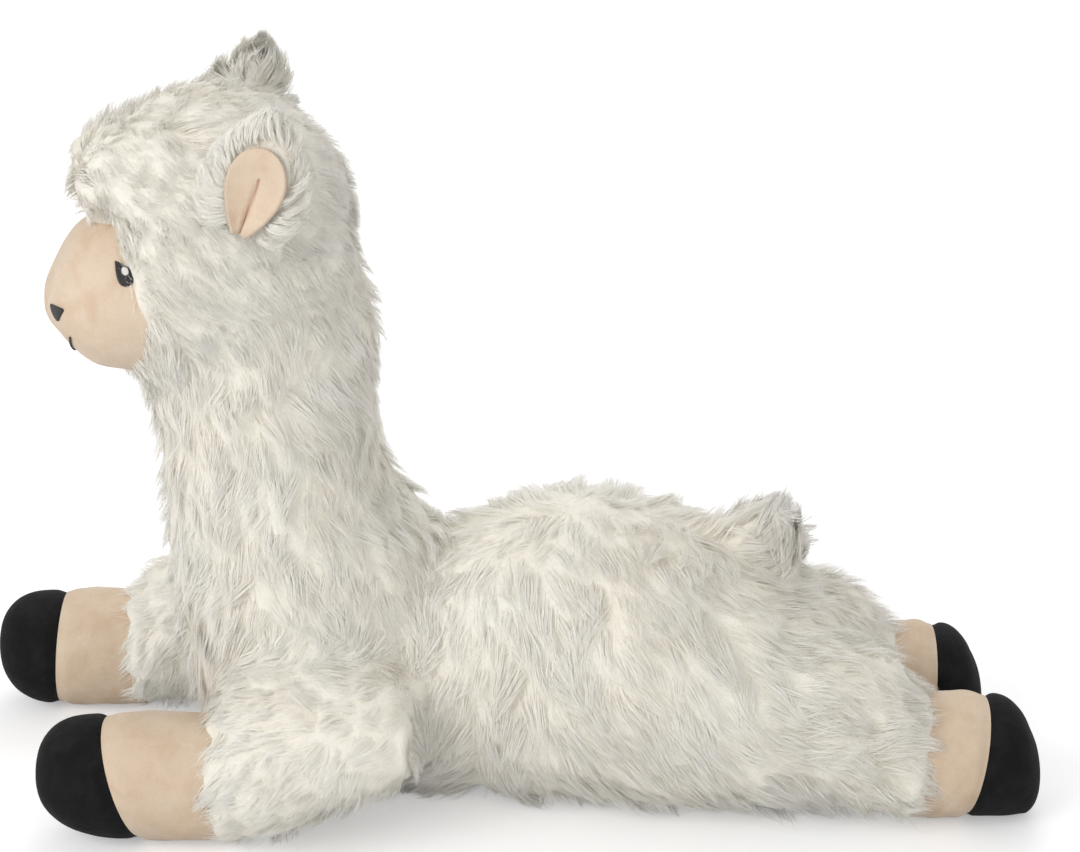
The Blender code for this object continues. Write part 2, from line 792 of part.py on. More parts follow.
def main():
    """Build every piece."""
    coat = cloth("long_pile_coat", COAT_WHITE, 0.95)
    peach = cloth("short_pile_peach", SKIN_PEACH, 0.88)
    black = cloth("short_pile_black", HOOF_BLACK, 0.85)
    wad = cloth("fibre_filling", FILLING_WHITE, 1.0)
    black_thread = cloth("black_thread", THREAD_BLACK, 0.45)
    white_thread = cloth("white_thread", THREAD_WHITE, 0.5)

    origin = empty("origin", (CENTRE_SHIFT[0], CENTRE_SHIFT[1], 0))
    head_holder = empty("head_holder", (0, HEAD_Y, 0), (0, 0, HEAD_TURN), origin)

    face_outside = cutter("face_outside", face_opening_stations(), "Y", head_holder)
    face_inside = volume("face_inside", face_filling_stations(), "Y", head_holder,
                         sides=FILLING_SIDES)
    torso = Soft("torso", torso_stations(), shrink(torso_stations(), PILE, 0.0), "Y", origin, 2,
                 math.radians(52))
    neck = Soft("neck", neck_stations(), neck_filling_stations(), "Z", origin, 2,
                math.radians(8))
    head = Soft("head", head_stations(), shrink(head_stations(), PILE), "Y", head_holder, 2,
                math.radians(35))

    legs = {}
    cuffs = {}
    holders = {}
    for leg in LEGS:
        holder = empty(leg.name + "_holder", (*leg.toe, 0), (0, 0, leg.heading), origin)
        legs[leg.name] = Soft(leg.name, sleeve_stations(leg), leg_filling_stations(leg), "Y",
                              holder, 1, math.radians(70))
        cuffs[leg.name] = cutter(leg.name + "_cuff_outside", cuff_opening_stations(leg), "Y",
                                 holder, sides=LEG_SIDES)
        holders[leg.name] = holder

    leg_insides = [soft.inside for soft in legs.values()]
    front_insides = [legs["front_left"].inside, legs["front_right"].inside]
    front_cuffs = [cuffs["front_left"], cuffs["front_right"]]

    torso.make_coat(coat, [neck.outside] + leg_insides)
    torso.make_filling(wad, [])
    neck.make_coat(coat, [head.outside, face_outside, torso.inside] + front_insides + front_cuffs)
    neck.make_filling(wad, [torso.inside, head.inside, face_outside])
    head.make_coat(coat, [neck.inside, face_outside])
    head.make_filling(wad, [face_outside], [face_inside])
    face = make_shell("face_panel", face_stations(), (True, False), head_holder, peach, SIDES)

    for leg in LEGS:
        beside = [cuffs[leg.name], neck.outside, torso.outside]
        fillings = [neck.inside, torso.inside]
        if leg.name == "hind_right":
            beside.append(legs["hind_left"].outside)
            fillings.append(legs["hind_left"].inside)
        make_leg(leg, legs[leg.name], holders[leg.name], beside, fillings,
                 (coat, peach, black, wad))

    make_tail(coat, origin, torso)
    for side_name, side in (("left", 1), ("right", -1)):
        make_ear(side_name, side, head_holder, head, coat, peach)
        make_eye(side_name, side, face, head, black_thread, white_thread, head_holder)
        make_nostril(side_name, side, face, black_thread, head_holder)
    make_mouth(face, black_thread, head_holder)


TOY, CUTTERS = start_scene()
GROUND = make_ground()
main()
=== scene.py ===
"""Looks for the plush llama: long-pile coat, short-pile cloth, embroidery, floor, light and camera."""
import math

import bpy
import numpy as np
from mathutils import Euler, Matrix, Vector, kdtree
from mathutils.bvhtree import BVHTree


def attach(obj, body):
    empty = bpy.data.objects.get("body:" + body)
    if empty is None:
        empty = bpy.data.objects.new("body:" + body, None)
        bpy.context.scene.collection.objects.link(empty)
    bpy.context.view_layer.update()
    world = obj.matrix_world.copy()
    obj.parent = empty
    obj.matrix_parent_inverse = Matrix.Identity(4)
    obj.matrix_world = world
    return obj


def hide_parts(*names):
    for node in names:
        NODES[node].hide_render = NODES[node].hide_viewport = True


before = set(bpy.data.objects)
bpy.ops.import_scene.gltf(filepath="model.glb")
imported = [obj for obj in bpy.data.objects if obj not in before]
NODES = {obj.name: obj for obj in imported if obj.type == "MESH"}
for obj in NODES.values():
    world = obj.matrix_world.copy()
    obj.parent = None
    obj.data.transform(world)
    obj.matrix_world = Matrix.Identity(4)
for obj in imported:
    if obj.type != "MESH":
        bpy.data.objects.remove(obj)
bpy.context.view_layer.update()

RNG = np.random.default_rng(11)

# Sizes in metres. They are those of the part's source, except for the muzzle's height and droop, the
# embroidery and the place of the ear linings, which were set after the photo a few millimetres away.
CENTRE = Vector((0.0025, 0.0212, 0.0))
HEAD_Y = -0.157
HEAD_TURN = math.radians(8)
FACE_WIDTH, FACE_HEIGHT, FACE_DEPTH = 0.090, 0.081, 0.052
FACE_TIP, FACE_Z = -0.2415, 0.2690
EYE_HEIGHT, EYE_WIDTH, EYE_UP, EYE_BACK, EYE_TILT = 0.0116, 0.0092, 0.0188, 0.0396, math.radians(36)
NOSTRIL_WIDTH, NOSTRIL_HEIGHT, NOSTRIL_APART, NOSTRIL_DOWN = 0.0100, 0.0076, 0.0470, 0.0048
MOUTH_WIDTH, MOUTH_RISE, MOUTH_DOWN = 0.050, 0.0135, 0.0300
EAR_LENGTH, EAR_WIDTH, EAR_HOLLOW = 0.045, 0.030, 0.0050
EAR_OUT, EAR_BACK, EAR_Z = 0.0715, 0.008, 0.3125
EAR_LEAN, EAR_SWEEP, EAR_FACING = math.radians(4), math.radians(20), math.radians(68)
CUFF_WIDTH, HOOF_WIDTH, CUFF_TUCK = 0.063, 0.062, 0.008
LEGS = {
    # toe, heading, hoof, cuff, toe lift, seam lean
    "front_left": ((0.068, -0.2505), 0, 0.043, 0.045, 0.002, -0.018),
    "front_right": ((-0.075, -0.2955), 0, 0.034, 0.038, 0.003, 0.004),
    "hind_left": ((0.046, 0.2530), 180, 0.033, 0.026, -0.011, -0.011),
    "hind_right": ((-0.035, 0.2360), 180, 0.028, 0.022, -0.010, -0.003),
}
HEAD = (Matrix.Translation(CENTRE + Vector((0, HEAD_Y, 0)))
        @ Matrix.Rotation(HEAD_TURN, 4, "Z"))


def unit(v):
    return v / np.maximum(np.linalg.norm(v, axis=-1, keepdims=True), 1e-12)


def curve(xs, ys, x):
    """Smooth monotone curve through the points."""
    xs, ys, x = np.asarray(xs, float), np.asarray(ys, float), np.asarray(x, float)
    slope = np.diff(ys) / np.diff(xs)
    m = np.concatenate(([slope[0]], (slope[:-1] + slope[1:]) / 2, [slope[-1]]))
    m[1:-1][slope[:-1] * slope[1:] <= 0] = 0
    i = np.clip(np.searchsorted(xs, x) - 1, 0, len(xs) - 2)
    h = xs[i + 1] - xs[i]
    t = np.clip((x - xs[i]) / h, 0, 1)
    return ((2 * t**3 - 3 * t**2 + 1) * ys[i] + (t**3 - 2 * t**2 + t) * h * m[i]
            + (-2 * t**3 + 3 * t**2) * ys[i + 1] + (t**3 - t**2) * h * m[i + 1])


# ---------------------------------------------------------------- materials
def new_material(name):
    material = bpy.data.materials.new(name)
    material.use_nodes = True
    nodes, links = material.node_tree.nodes, material.node_tree.links
    return material, nodes, links, nodes["Principled BSDF"]


def set_inputs(node, **values):
    for name, value in values.items():
        node.inputs[name.replace("_", " ")].default_value = value


def noise_node(nodes, links, scale, detail=3.0, rough=0.55, distortion=0.0):
    place = nodes.new("ShaderNodeTexCoord")
    noise = nodes.new("ShaderNodeTexNoise")
    set_inputs(noise, Scale=scale, Detail=detail, Roughness=rough, Distortion=distortion)
    links.new(place.outputs["Object"], noise.inputs["Vector"])
    return noise.outputs["Fac"]


def attribute_node(nodes, name):
    attribute = nodes.new("ShaderNodeAttribute")
    attribute.attribute_name = name
    return attribute


def ramp_node(nodes, links, source, stops):
    ramp = nodes.new("ShaderNodeValToRGB")
    while len(ramp.color_ramp.elements) < len(stops):
        ramp.color_ramp.elements.new(0.5)
    for element, (place, colour) in zip(ramp.color_ramp.elements, stops):
        element.position = place
        element.color = (*colour, 1.0)
    links.new(source, ramp.inputs["Fac"])
    return ramp.outputs["Color"]


def mix_node(nodes, links, kind, amount, first, second):
    mix = nodes.new("ShaderNodeMix")
    mix.data_type = "RGBA"
    mix.blend_type = kind
    if isinstance(amount, float):
        mix.inputs["Factor"].default_value = amount
    else:
        links.new(amount, mix.inputs["Factor"])
    for socket, value in ((6, first), (7, second)):
        if isinstance(value, tuple):
            mix.inputs[socket].default_value = (*value, 1.0)
        else:
            links.new(value, mix.inputs[socket])
    return mix.outputs[2]


def bump_node(nodes, links, shader, height, distance, strength, normal=None):
    bump = nodes.new("ShaderNodeBump")
    set_inputs(bump, Strength=strength, Distance=distance)
    links.new(height, bump.inputs["Height"])
    if normal:
        links.new(normal, bump.inputs["Normal"])
    if shader:
        links.new(bump.outputs["Normal"], shader.inputs["Normal"])
    return bump.outputs["Normal"]


def patch_colour(nodes, links, colour):
    """Lays slightly warmer and cooler areas over a colour."""
    patch = ramp_node(nodes, links, noise_node(nodes, links, 22.0, 2.0),
                      ((0.35, (0.990, 0.975, 0.945)), (0.65, (0.995, 0.995, 0.985))))
    return mix_node(nodes, links, "MULTIPLY", 1.0, colour, patch)


def fur_material(name, root, middle, tip, through):
    """Pile that is painted darker at its root, for the shade deep in the pile, with warmer and cooler areas,
    and lets light through.
    """
    material, nodes, links, shader = new_material(name)
    along, shade, hair = (attribute_node(nodes, label) for label in ("along", "shade", "hair"))
    fine = nodes.new("ShaderNodeTexNoise")
    set_inputs(fine, Scale=1.0, Detail=2.0)
    links.new(hair.outputs["Vector"], fine.inputs["Vector"])
    # painted shade: the root colour is darker than the tip, for the shade that falls deep in the pile
    body = ramp_node(nodes, links, along.outputs["Fac"], ((0.0, root), (0.5, middle), (1.0, tip)))
    strand = ramp_node(nodes, links, shade.outputs["Fac"],
                       ((0.0, (0.975, 0.968, 0.955)), (0.5, (0.99, 0.987, 0.98)), (1.0, (1, 1, 1))))
    grain = ramp_node(nodes, links, fine.outputs["Fac"],
                      ((0.32, (0.98, 0.976, 0.965)), (0.62, (1.0, 1.0, 1.0))))
    colour = mix_node(nodes, links, "MULTIPLY", 1.0, body, strand)
    colour = mix_node(nodes, links, "MULTIPLY", 1.0, colour, grain)
    colour = patch_colour(nodes, links, colour)
    links.new(colour, shader.inputs["Base Color"])
    set_inputs(shader, Roughness=0.85, Specular_IOR_Level=0.2, Sheen_Weight=0.35, Sheen_Roughness=0.5)
    glow = nodes.new("ShaderNodeBsdfTranslucent")
    links.new(colour, glow.inputs["Color"])
    blend = nodes.new("ShaderNodeMixShader")
    blend.inputs[0].default_value = through
    links.new(shader.outputs["BSDF"], blend.inputs[1])
    links.new(glow.outputs["BSDF"], blend.inputs[2])
    links.new(blend.outputs["Shader"], nodes["Material Output"].inputs["Surface"])
    return material


def under_material(name, light, dark):
    """Dense fine fibre at the foot of the pile, in colours a little darker than the pile's, which paint the
    shade under the pile.
    """
    material, nodes, links, shader = new_material(name)
    fibre = noise_node(nodes, links, 650.0, 3.0)
    colour = ramp_node(nodes, links, fibre, ((0.3, dark), (0.7, light)))
    links.new(patch_colour(nodes, links, colour), shader.inputs["Base Color"])
    bump_node(nodes, links, shader, fibre, 0.0008, 0.5)
    set_inputs(shader, Roughness=0.95, Specular_IOR_Level=0.2, Sheen_Weight=0.2)
    return material


def velvet_material(name, colour, deep, pale, mottle, sheen, fold_shade=None):
    """Short velvety pile with soft marks where it has been brushed, and a fine nap; the optional last colour
    is painted shade, laid along the crease that a mesh attribute marks.
    """
    material, nodes, links, shader = new_material(name)
    broad = ramp_node(nodes, links, noise_node(nodes, links, mottle, 3.0, 0.6, 0.4),
                      ((0.32, deep), (0.5, colour), (0.70, pale)))
    nap = ramp_node(nodes, links, noise_node(nodes, links, 1500.0, 2.0),
                    ((0.3, (0.93, 0.92, 0.91)), (0.7, (1.0, 1.0, 1.0))))
    result = mix_node(nodes, links, "MULTIPLY", 1.0, broad, nap)
    # painted shade: darkens the cloth along a fold's crease
    if fold_shade:
        fold_shade_mark = attribute_node(nodes, "fold_shade")
        result = mix_node(nodes, links, "MIX", fold_shade_mark.outputs["Fac"], result, fold_shade)
    links.new(result, shader.inputs["Base Color"])
    soft = bump_node(nodes, links, None, noise_node(nodes, links, mottle * 1.6, 3.0), 0.0016, 0.5)
    bump_node(nodes, links, shader, noise_node(nodes, links, 1900.0, 3.0), 0.0003, 0.7, soft)
    set_inputs(shader, Roughness=0.85, Specular_IOR_Level=0.2, Sheen_Weight=sheen, Sheen_Roughness=0.4)
    return material


def thread_material(name, colour, pale, gloss):
    """Twisted embroidery thread."""
    material, nodes, links, shader = new_material(name)
    grain = noise_node(nodes, links, 2600.0, 2.0, 0.5, 1.2)
    links.new(ramp_node(nodes, links, grain, ((0.35, colour), (0.75, pale))),
              shader.inputs["Base Color"])
    bump_node(nodes, links, shader, grain, 0.0002, 0.8)
    set_inputs(shader, Roughness=gloss, Sheen_Weight=0.2)
    return material


# the first colour, at the strands' roots, is darker: painted shade deep in the pile
FUR = fur_material("coat_pile", (0.955, 0.930, 0.865), (0.975, 0.962, 0.925), (0.985, 0.978, 0.952), 0.18)
# painted shade: the backing's colours are darker than the pile's, for the shade between the locks
UNDER = under_material("coat_backing", (0.895, 0.870, 0.800), (0.84, 0.81, 0.735))
PEACH = velvet_material("peach_velvet", (0.735, 0.590, 0.450), (0.695, 0.530, 0.390),
                        (0.765, 0.635, 0.500), 60.0, 0.25)
# painted shade: a darker copy of the face's peach cloth, for the cuffs, which sit low and get less light
SHADED_CUFF_PEACH = velvet_material("shaded_cuff_velvet", (0.690, 0.545, 0.405), (0.645, 0.490, 0.350),
                             (0.720, 0.590, 0.455), 60.0, 0.25)
# the ear lining's last colour is painted shade in the crease of its fold
EAR_PEACH_FOLD_SHADE = velvet_material("ear_velvet", (0.735, 0.590, 0.450), (0.695, 0.530, 0.390),
                            (0.765, 0.635, 0.500), 60.0, 0.25, (0.40, 0.17, 0.10))
BLACK = velvet_material("black_velvet", (0.007, 0.007, 0.0075), (0.005, 0.005, 0.005),
                        (0.012, 0.012, 0.013), 90.0, 0.03)
THREAD = thread_material("black_thread_twist", (0.010, 0.009, 0.009), (0.035, 0.030, 0.028), 0.5)
WHITE_THREAD = thread_material("white_thread_twist", (0.80, 0.79, 0.77), (0.88, 0.88, 0.86), 0.5)


# ---------------------------------------------------------------- meshes
def link_object(name, data):
    obj = bpy.data.objects.new(name, data)
    bpy.context.scene.collection.objects.link(obj)
    return obj


def make_object(name, verts, faces, material, matrix):
    mesh = bpy.data.meshes.new(name)
    mesh.from_pydata([tuple(v) for v in verts], [], [tuple(int(i) for i in f) for f in faces])
    mesh.transform(matrix)
    mesh.validate()
    mesh.shade_smooth()
    mesh.materials.append(material)
    return link_object(name, mesh)


def weld(obj, distance):
    modifier = obj.modifiers.new("weld", "WELD")
    modifier.merge_threshold = distance


def mesh_arrays(mesh):
    mesh.calc_loop_triangles()
    verts = np.zeros(len(mesh.vertices) * 3)
    mesh.vertices.foreach_get("co", verts)
    tris = np.zeros(len(mesh.loop_triangles) * 3, int)
    mesh.loop_triangles.foreach_get("vertices", tris)
    return verts.reshape(-1, 3), tris.reshape(-1, 3)


def joined(names, *more):
    """Vertices and triangles of the named nodes, and of more such pairs, as one pair."""
    verts, tris, base = [], [], 0
    for v, t in (*(mesh_arrays(NODES[name].data) for name in names), *more):
        verts.append(v)
        tris.append(t + base)
        base += len(v)
    return np.concatenate(verts), np.concatenate(tris)


def bvh(verts, tris):
    return BVHTree.FromPolygons(verts.tolist(), tris.tolist())


def evaluated_mesh(obj):
    depsgraph = bpy.context.evaluated_depsgraph_get()
    return bpy.data.meshes.new_from_object(obj.evaluated_get(depsgraph))


def grid_faces(rows, columns, wrap):
    faces = []
    for r in range(rows - 1):
        low, high = r * columns, (r + 1) * columns
        for c in range(columns if wrap else columns - 1):
            d = (c + 1) % columns
            faces.append((low + c, low + d, high + d, high + c))
    return faces


def tube_faces(rows, columns):
    """Faces round a closed tube, which look outward."""
    return [face[::-1] for face in grid_faces(rows, columns, True)]


# ---------------------------------------------------------------- short-pile pieces
FACE_SHAPE = (
    # shares of the muzzle's depth, width, height below its middle and height above it
    (0.000, 0.00, 0.105, -0.095), (0.012, 0.19, 0.140, 0.015), (0.05, 0.36, 0.190, 0.085),
    (0.12, 0.50, 0.250, 0.175), (0.22, 0.64, 0.335, 0.285), (0.34, 0.76, 0.415, 0.380),
    (0.46, 0.85, 0.465, 0.430), (0.63, 0.93, 0.490, 0.470), (0.80, 0.97, 0.500, 0.490),
    (1.00, 1.00, 0.500, 0.500), (1.16, 1.00, 0.500, 0.500),
)
FACE_END = 1.15             # how deep the cover reaches, as a share of the muzzle's depth
WELD_GAP = 0.00002
LEG_COLUMNS = 64
SEAM_PULL, SEAM_REACH, SEAM_GAP = 0.0016, 0.0035, 0.0003
HOOF_ROUND = 2.6            # how square the hoof's outline is
FLOOR_GAP = 0.0005


def face_ring(depth):
    """Half width, middle height and half height of the muzzle at a depth share."""
    depths = np.sqrt([row[0] for row in FACE_SHAPE])
    d = np.sqrt(np.clip(depth, 0, FACE_END))
    half = curve(depths, [row[1] * FACE_WIDTH / 2 for row in FACE_SHAPE], d)
    low = FACE_Z - FACE_HEIGHT * curve(depths, [row[2] for row in FACE_SHAPE], d)
    high = FACE_Z + FACE_HEIGHT * curve(depths, [row[3] for row in FACE_SHAPE], d)
    return half, (low + high) / 2, (high - low) / 2


def face_from_front(x, z):
    """The muzzle's surface point that lies at x, z in the head's frame."""
    near, far = 0.0, 1.1
    for _ in range(40):
        middle = (near + far) / 2
        half, centre, tall = face_ring(middle)
        if (x / max(half, 1e-6)) ** 2 + ((z - centre) / max(tall, 1e-6)) ** 2 > 1:
            near = middle
        else:
            far = middle
    return np.array((x, FACE_TIP - HEAD_Y + FACE_DEPTH * far, z))


def face_from_side(y, z, side):
    """The muzzle's surface point that lies at y, z on one side."""
    half, centre, tall = face_ring((y - FACE_TIP + HEAD_Y) / FACE_DEPTH)
    across = max(1 - ((z - centre) / tall) ** 2, 0.0) ** 0.5
    return np.array((side * half * across, y, z))


def outward(point, function, *args):
    """Surface normal of the muzzle near a point given by two coordinates."""
    step = 0.0006
    a, b = point
    across = function(a + step, b, *args) - function(a - step, b, *args)
    up = function(a, b + step, *args) - function(a, b - step, *args)
    normal = unit(np.cross(across, up))
    middle = np.array((0, 0.0, FACE_Z))
    return normal if normal @ (function(a, b, *args) - middle) > 0 else -normal


def make_face():
    rows, columns = 44, 72
    verts = []
    for r in range(rows):
        depth = FACE_END * (r / (rows - 1)) ** 2
        half, centre, tall = face_ring(depth)
        y = FACE_TIP - HEAD_Y + FACE_DEPTH * depth
        for c in range(columns):
            a = 2 * math.pi * c / columns
            puff = 1 + 0.006 * math.sin(3 * a + 1.0) * math.sin(6 * depth)
            verts.append((half * math.cos(a) * puff, y, centre + tall * math.sin(a) * puff))
    obj = make_object("face_cover", verts, tube_faces(rows, columns), PEACH, HEAD)
    weld(obj, WELD_GAP)
    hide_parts("face_panel")
    return obj


def leg_tube(rows, at_of, half_of, centre_of, lean_of, wrinkle):
    """Rings of a stuffed tube with fine wrinkles, flattened where it would pass the floor."""
    verts = []
    for r in range(rows):
        s = r / (rows - 1)
        at, half, centre, tilt = at_of(s), half_of(s), centre_of(s), lean_of(s)
        swell = math.sin(math.pi * min(s * 1.2, 1))
        for c in range(LEG_COLUMNS):
            a = 2 * math.pi * c / LEG_COLUMNS
            ripple = wrinkle * (math.sin(5 * a + 9 * s) + math.sin(8 * a - 14 * s + 2) * 0.6) * swell
            radius = half + ripple
            up = max(radius * math.sin(a), FLOOR_GAP - centre)
            verts.append((radius * math.cos(a), at + tilt * math.sin(a) / 2, centre + up))
    return verts


def seam_pinch(distance):
    """How far the seam pulls the cloth in at a distance from it."""
    return SEAM_PULL * math.exp(-(distance / SEAM_REACH) ** 2)


def make_leg_cloth(name, leg):
    """The hoof and the cuff, pulled in a little where the seam joins them."""
    (x, y), heading, hoof, cuff, lift, lean = leg
    place = (Matrix.Translation(CENTRE + Vector((x, y, 0)))
             @ Matrix.Rotation(math.radians(heading), 4, "Z"))
    length = cuff + CUFF_TUCK - SEAM_GAP

    def from_toe(s):
        """Share of the hoof's length, with the rings closer together at the toe."""
        return s ** 1.35

    def hoof_half(s):
        crown = max(1 - (1 - s) ** HOOF_ROUND, 0.0) ** (1 / HOOF_ROUND)
        return HOOF_WIDTH / 2 * crown * 1.005 - seam_pinch((1 - s) * hoof) * min(1, s * 2)

    def hoof_centre(s):
        return max(CUFF_WIDTH / 2 + lift * (1 - s) ** 1.3, hoof_half(s) + 0.0008)

    def cuff_half(s):
        return CUFF_WIDTH / 2 + 0.0006 * math.sin(math.pi * min(s * 1.3, 1)) - seam_pinch(s * length)

    rows = 34
    verts = leg_tube(rows, lambda s: hoof * from_toe(s), lambda s: hoof_half(from_toe(s)),
                     lambda s: hoof_centre(from_toe(s)), lambda s: lean * from_toe(s), 0.00018)
    obj = make_object(name + "_hoof_cover", verts, tube_faces(rows, LEG_COLUMNS), BLACK, place)
    weld(obj, WELD_GAP)
    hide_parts(name + "_hoof")

    rows = 30
    verts = leg_tube(rows, lambda s: hoof + SEAM_GAP + length * s, cuff_half,
                     lambda s: CUFF_WIDTH / 2 + 0.0004, lambda s: lean * (1 - s), 0.00035)
    # the cuff gets the darker peach, which is painted shade
    band = make_object(name + "_cuff_cover", verts, tube_faces(rows, LEG_COLUMNS), SHADED_CUFF_PEACH, place)
    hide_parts(name + "_cuff")
    return obj, band


def ear_matrix(side):
    turn = Euler((math.radians(90) - EAR_LEAN, side * EAR_SWEEP, side * EAR_FACING))
    return HEAD @ Matrix.Translation((side * EAR_OUT, EAR_BACK, EAR_Z)) @ turn.to_matrix().to_4x4()


def ear_spread(up):
    """Width share of the ear's lining at a share of its length."""
    spread = 0.16 + 0.84 * math.sin(math.pi / 2 * min(max(up, 0) / 0.62, 1)) ** 0.9
    return spread * max(1 - max((up - 0.62) / 0.38, 0) ** 2, 0.0004) ** 0.5


def make_ear_lining(side_name, side):
    rows, columns = 30, 25
    verts, marks = [], []
    for r in range(rows):
        up = 1 - (1 - r / (rows - 1)) ** 1.7
        spread = ear_spread(up)
        for c in range(columns):
            across = 2 * c / (columns - 1) - 1
            x = EAR_WIDTH * 0.46 * spread * across
            y = EAR_LENGTH * (0.05 + 0.96 * up)
            z = -EAR_HOLLOW * (1 - abs(across) ** 1.6) * math.sin(math.pi * min(up + 0.15, 1.0))
            middle = side * (-0.10 + 0.16 * up)
            crease = math.exp(-((across - middle) / 0.10) ** 2) * max(0.0, 1 - up / 0.66) ** 0.5
            # where the ear material paints shade along the fold's crease
            marks.append(0.85 * math.exp(-((across - middle) / 0.045) ** 2) * (0.66 > up > 0.08))
            verts.append((x, y, z - 0.0022 * crease))
    obj = make_object(side_name + "_ear_cover", verts, grid_faces(rows, columns, False), EAR_PEACH_FOLD_SHADE,
                      ear_matrix(side))
    layer = obj.data.attributes.new("fold_shade", "FLOAT", "POINT")
    layer.data.foreach_set("value", np.array(marks, np.float32))
    wall = obj.modifiers.new("wall", "SOLIDIFY")
    wall.thickness = 0.0018
    wall.offset = -1.0
    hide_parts(side_name + "_ear_lining")
    return obj


# ---------------------------------------------------------------- embroidery
def stitches(name, paths, radius, material, node):
    """Flattened threads along the paths, each a list of (point, normal)."""
    verts, faces = [], []
    sides = 6
    for path in paths:
        points = np.array([p for p, _ in path])
        normals = np.array([n for _, n in path])
        tangents = unit(np.gradient(points, axis=0))
        across = unit(np.cross(tangents, normals))
        base = len(verts)
        count = len(path)
        for i in range(count):
            s = i / (count - 1)
            swell = math.sin(math.pi * min(max(s, 0.06), 0.94)) ** 0.35
            for k in range(sides):
                a = 2 * math.pi * k / sides
                arc = across[i] * math.cos(a) + normals[i] * (math.sin(a) * 0.75 + 0.35)
                verts.append(points[i] + arc * radius * swell)
        for i in range(count - 1):
            low, high = base + i * sides, base + (i + 1) * sides
            for k in range(sides):
                d = (k + 1) % sides
                faces.append((low + k, low + d, high + d, high + k))
        faces.append([base + k for k in range(sides)][::-1])
        faces.append([base + (count - 1) * sides + k for k in range(sides)])
    obj = make_object(name, verts, faces, material, HEAD)
    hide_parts(node)
    return obj


def teardrop(u):
    """Half width share of the eye from its top at 0 to its foot at 1."""
    return 1.45 * u ** 0.8 * (1 - u ** 3.4) ** 0.5


def disc(u):
    return (1 - (2 * u - 1) ** 2) ** 0.5


ACROSS = [2 * j / 8 - 1 for j in range(9)]      # places along one thread of a satin stitch
EYE_STITCHES = (
    # label, height, width, shift back and up, lift, threads, outline, thread radius, material
    ("eye", EYE_HEIGHT, EYE_WIDTH, (0.0, 0.0), 0.0004, 24, teardrop, 0.00040, THREAD),
    ("eye_glint", 0.0034, 0.0034, (0.0011, 0.0006), 0.0011, 8, disc, 0.00030, WHITE_THREAD),
)
NOSTRIL_THREADS, NOSTRIL_LIFT, NOSTRIL_RADIUS = 16, 0.0003, 0.00042
MOUTH_THREADS, MOUTH_LIFT, MOUTH_RADIUS = 26, 0.0002, 0.00075


def eye_paths(side, height, width, shift, lift, count, outline):
    eye_y, eye_z = FACE_TIP - HEAD_Y + EYE_BACK, FACE_Z + EYE_UP
    paths = []
    for i in range(count):
        u = (i + 0.5) / count
        half = width / 2 * outline(u)
        half *= 1 + 0.03 * math.sin(i * 2.4)
        along = height * (0.5 - u)
        path = []
        for place in ACROSS:
            across = half * place
            y = eye_y + shift[0] + across * math.cos(EYE_TILT) - along * math.sin(EYE_TILT)
            z = eye_z + shift[1] + across * math.sin(EYE_TILT) + along * math.cos(EYE_TILT)
            normal = outward((y, z), face_from_side, side)
            path.append((face_from_side(y, z, side) + normal * lift, normal))
        paths.append(path)
    return paths


def nostril_paths(side):
    top = FACE_Z - NOSTRIL_DOWN + NOSTRIL_HEIGHT / 2
    paths = []
    for i in range(NOSTRIL_THREADS):
        u = (i + 0.5) / NOSTRIL_THREADS
        half = NOSTRIL_WIDTH / 2 * (0.16 + 0.84 * (1 - u) ** 0.8) * (0.8 + 0.2 * min(u * 8, 1))
        middle = side * NOSTRIL_APART / 2 - side * NOSTRIL_WIDTH / 2 * 0.25 * u
        z = top - NOSTRIL_HEIGHT * u
        path = []
        for place in ACROSS:
            x = middle + half * place
            normal = outward((x, z), face_from_front)
            path.append((face_from_front(x, z) + normal * NOSTRIL_LIFT, normal))
        paths.append(path)
    return paths


def mouth_paths():
    """Short stitches one after another along the mouth's curve."""
    paths = []
    for i in range(MOUTH_THREADS):
        path = []
        for j in range(5):
            across = 2 * (i + 0.02 + 1.02 * j / 4) / MOUTH_THREADS - 1
            across = max(min(across, 1), -1)
            x = MOUTH_WIDTH / 2 * across
            z = FACE_Z - MOUTH_DOWN + MOUTH_RISE * across ** 2 + 0.0002 * (j % 2)
            normal = outward((x, z), face_from_front)
            path.append((face_from_front(x, z) + normal * MOUTH_LIFT, normal))
        paths.append(path)
    return paths


def make_embroidery():
    made = []
    for side_name, side in (("left", 1), ("right", -1)):
        for label, height, width, shift, lift, count, outline, radius, material in EYE_STITCHES:
            paths = eye_paths(side, height, width, shift, lift, count, outline)
            node = f"{side_name}_{label}"
            made.append(stitches(node + "_thread", paths, radius, material, node))
        node = side_name + "_nostril"
        made.append(stitches(node + "_thread", nostril_paths(side), NOSTRIL_RADIUS, THREAD, node))
    made.append(stitches("mouth_thread", mouth_paths(), MOUTH_RADIUS, THREAD, "mouth_stitching"))
    return made


# ---------------------------------------------------------------- undercoat
COATS = ("torso", "neck", "head", "front_left", "front_right", "hind_left", "hind_right", "tail")
COAT_NODES = {label: label if label == "tail" else label + "_coat" for label in COATS}
SINK = 0.0062               # how far the backing lies under the solids, which stand for backing and pile
BODY_VOXEL, BODY_ROUNDS = 0.005, 7
EAR_VOXEL, EAR_ROUNDS, EAR_SINK = 0.0024, 4, 0.0022
BACKING_FLOOR = 0.0004
JAW_HALF = (0.040, 0.021, 0.023)
JAW_BACK, JAW_DOWN = 0.052, 0.029


